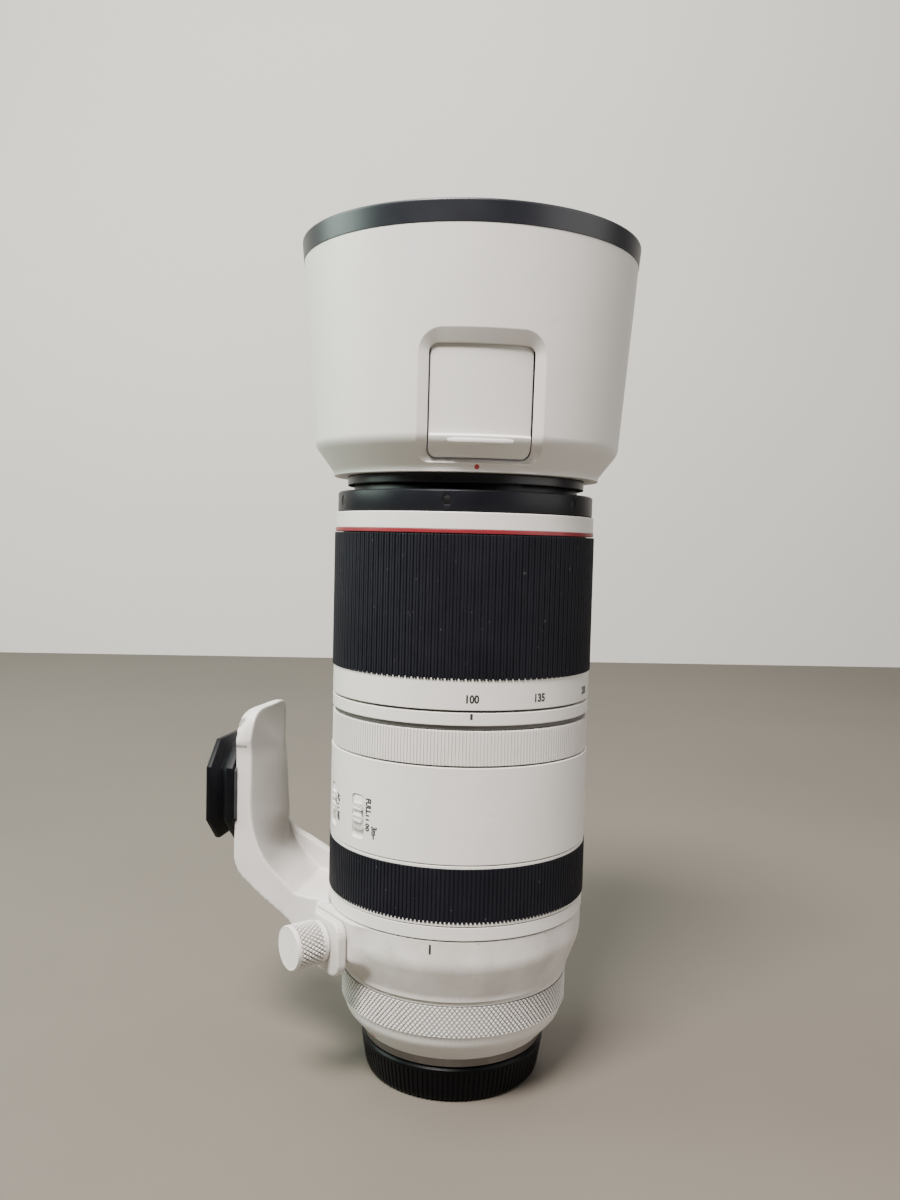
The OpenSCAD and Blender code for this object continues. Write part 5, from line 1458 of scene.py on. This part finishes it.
def frame_depth(share):
    """Depth of the moulded frame: full at the window, fading softly into the hood at its outer edge."""
    fade = 1 - share
    return window_depth * fade * (0.93 + 0.07 * fade) if share < 1 else 0


hood_form = bmesh.new()
outer_grid = hood_surface(hood_form, 0)
outer_rim = patch_rim(hood_form)
frame_shares = [1.25, 1.12, 1.05, 1.0, 0.95, 0.88, 0.78, 0.64, 0.5, 0.34, 0.18, 0.08, 0.02]
outer_levels = [(share, frame_depth(share)) for share in frame_shares] + [(0, window_depth + frame_lip)]
outer_last = add_patch(hood_form, outer_rim, outer_levels)
inner_grid = hood_surface(hood_form, hood_skin)
inner_rim = [e for e in patch_rim(hood_form) if not set(e.verts) & set(outer_last)]
land_depth = window_depth + 0.15 * mm
inner_levels = [(1.2, hood_skin), (0.9, hood_skin), (0.7, land_depth), (0, land_depth)]
inner_last = add_patch(hood_form, inner_rim, inner_levels)
close_row(hood_form, outer_last, inner_last)
skirt_r = 42.8 * mm
base_turns = [2 * pi * i / hood_columns for i in range(hood_columns)]
base_ring = [hood_form.verts.new(around(turn, skirt_r, hood_low)) for turn in base_turns]
base_top = [hood_form.verts.new(around(turn, skirt_r, hood_low + hood_skin)) for turn in base_turns]
close_row(hood_form, outer_grid[0], base_ring)
close_row(hood_form, base_ring, base_top)
close_row(hood_form, base_top, inner_grid[0])
close_row(hood_form, outer_grid[-1], inner_grid[-1])
hood_mesh = tidy_mesh(mesh_from(hood_form, bpy.data.meshes.new("hood_skin")), 38)
button_z = hood_low + 6.5 * mm
button_half_w = 4.8 * mm
button_half_h = 2.8 * mm
button_round = 1.6 * mm
button_azimuth = radians(-90)
button_clear = 4 * mm
button_levels = [(hood_reach(button_z) - button_clear, 0), (hood_reach(button_z) + button_clear, 0)]
button_hole = round_prism(button_half_w, button_half_h, button_round, button_azimuth, button_z,
                          button_levels)
hood_mesh = cut_from(hood_mesh, [button_hole], 38)
piece_of("hood_skin", hood_mesh, hood_paint, "hood", "hood_paint", "hood_shell")
hood_dot_azimuth = radians(-0.6)
hood_dot_z = 218.7 * mm
hood_dot_r = 0.8 * mm
printed_dot("hood_index_dot", hood_dot_azimuth, hood_dot_z, hood_dot_r, hood_reach, "hood")

# Hood rim, liner and skirt
# A soft black bumper band closes the mouth. The moulded black liner carries the door's track, the
# bayonet skirt and, inside, a flocked matte surface. Below the hood the skirt shows as a smooth band.
rim_rubber = finish_of("rim_rubber", (0.008, 0.009, 0.0135), (0.012, 0.0132, 0.019),
                       roughness=(0.33, 0.42), grain_size=0.4, grain_height=0.012, patch_size=20,
                       sheen=0.6)
flock = finish_of("flock_black", (0.008, 0.008, 0.009), (0.014, 0.014, 0.015),
                  roughness=(0.85, 0.95), grain_size=0.12, grain_height=0.05, patch_size=10)
skirt_black = finish_of("skirt_black", (0.008, 0.0085, 0.012), (0.012, 0.0125, 0.017),
                        roughness=(0.30, 0.40), grain_size=0.25, grain_height=0.006, patch_size=14)
rim_inner_r = hood_mouth_r - 2.6 * mm
rim_foot_r = hood_mouth_r + 0.15 * mm
rim_lip_r = rim_r + 0.5 * mm
rim_soft = 0.8 * mm
rim_mesh = turned([
    (rim_foot_r, rim_low, fine_edge),
    (rim_lip_r, rim_high, rim_soft),
    (rim_inner_r, rim_high, rim_soft),
    (rim_inner_r, rim_low, 0),
], 360)
piece_of("rim_band", rim_mesh, rim_rubber, "hood", "grip_rubber", "hood_rim")
piece_of("liner", merged_copy("hood_liner"), flock, "hood", "black_plastic", "hood_liner")
skirt_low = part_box("hood_liner")[0].z + 0.15 * mm
skirt_high = hood_low - 0.35 * mm
skirt_band_r = skirt_r + 0.05 * mm
skirt_wall = 0.55 * mm
skirt_top_edge = 0.15 * mm
skirt_band = band(skirt_band_r, skirt_wall, skirt_low, skirt_high, fine_edge, skirt_top_edge, 240)
piece_of("skirt_band", skirt_band, skirt_black, "hood", "black_plastic")

# Filter door
# A moulded door that slides up in the liner's track to reach a filter. Its foot is a lip on the hood's
# chamfer with a small finger ridge.
door_gap = 0.55 * mm
door_half = window_half - door_gap
door_low = window_low + door_gap
door_head = window_high + 0.2 * mm
door_lip_top = hood_bend + 1.3 * mm
door_thick = 1.0 * mm
door_depth = 2.7 * mm
lip_depth = 0.9 * mm
door_round = 2.8 * mm
lip_blend = 1.1 * mm
lip_near = 0.8 * mm
lip_rows = 0.12 * mm
door_rows = 0.9 * mm


def door_half_at(z):
    """Half the door's width at a height, narrower in its round foot corners."""
    if z >= door_low + door_round:
        return door_half
    drop = door_low + door_round - z
    return door_half - door_round + sqrt(max(door_round ** 2 - drop ** 2, 0))


def door_face_depth(z):
    """The door lies below the hood's surface, and its lip on the chamfer stands up to it."""
    step = eased((door_lip_top - z) / lip_blend + 0.5)
    return door_depth * (1 - step) + lip_depth * step


door_heights = [door_low + door_round * (1 - cos(radians(90 * k / 8))) for k in range(9)]
z = door_heights[-1]
while z < door_head - 1e-9:
    z = min(z + (lip_rows if abs(z - door_lip_top) < lip_near else door_rows), door_head)
    door_heights.append(z)
door_columns = 28
door_form = bmesh.new()
door_faces = []
for is_back in (False, True):
    rows = []
    for z in door_heights:
        half = door_half_at(z)
        depth = door_depth + door_thick if is_back else door_face_depth(z)
        places = [half * (2 * k / door_columns - 1) for k in range(door_columns + 1)]
        rows.append([door_form.verts.new(on_hood(across, z, depth)) for across in places])
    door_faces.append(rows)
    for lower, upper in zip(rows, rows[1:]):
        for k in range(door_columns):
            door_form.faces.new((lower[k], lower[k + 1], upper[k + 1], upper[k]))
face, back = door_faces
for j in range(len(face) - 1):
    for k in (0, door_columns):
        door_form.faces.new((face[j][k], face[j + 1][k], back[j + 1][k], back[j][k]))
for j in (0, -1):
    for k in range(door_columns):
        door_form.faces.new((face[j][k], face[j][k + 1], back[j][k + 1], back[j][k]))
door_mesh = tidy_mesh(mesh_from(door_form, bpy.data.meshes.new("door_panel")), 50)
piece_of("door_panel", door_mesh, hood_paint, "door", "hood_paint", "hood_door")
ridge_half = 10.3 * mm
ridge_z = door_lip_top - 1.9 * mm
ridge_steps = 14
ridge_end_share = 0.55
ridge_section = [(-1, -0.6), (-1, 0.7), (-0.85, 1), (-0.3, 1), (0.5, 0.6), (0.85, 0.3), (0.95, -0.6)]
ridge_loops = []
for k in range(ridge_steps + 1):
    across = ridge_half * (2 * k / ridge_steps - 1)
    size = mm if 0 < k < ridge_steps else ridge_end_share * mm
    ridge_loops.append([on_hood(across * (1 + 0.04 * rise), ridge_z + rise * size, lip_depth - out * size)
                        for rise, out in ridge_section])
ridge_mesh = tidy_mesh(ends_closed(loops_to_mesh(ridge_loops, closed_way=False)), 40)
piece_of("door_ridge", ridge_mesh, hood_paint, "door", "hood_paint")

# Hood lock button
# A small sprung push button, moulded in grey plastic, in the hood's chamfer. Pushed in, it frees the
# hood's bayonet.
button_grey = finish_of("button_grey", (0.25, 0.24, 0.23), (0.2, 0.195, 0.185),
                        roughness=(0.4, 0.5), grain_size=0.3, grain_height=0.01, patch_size=4)
broken_edges("hood_button", "lock_button", soft_edge, button_grey, "button", "hood_paint")
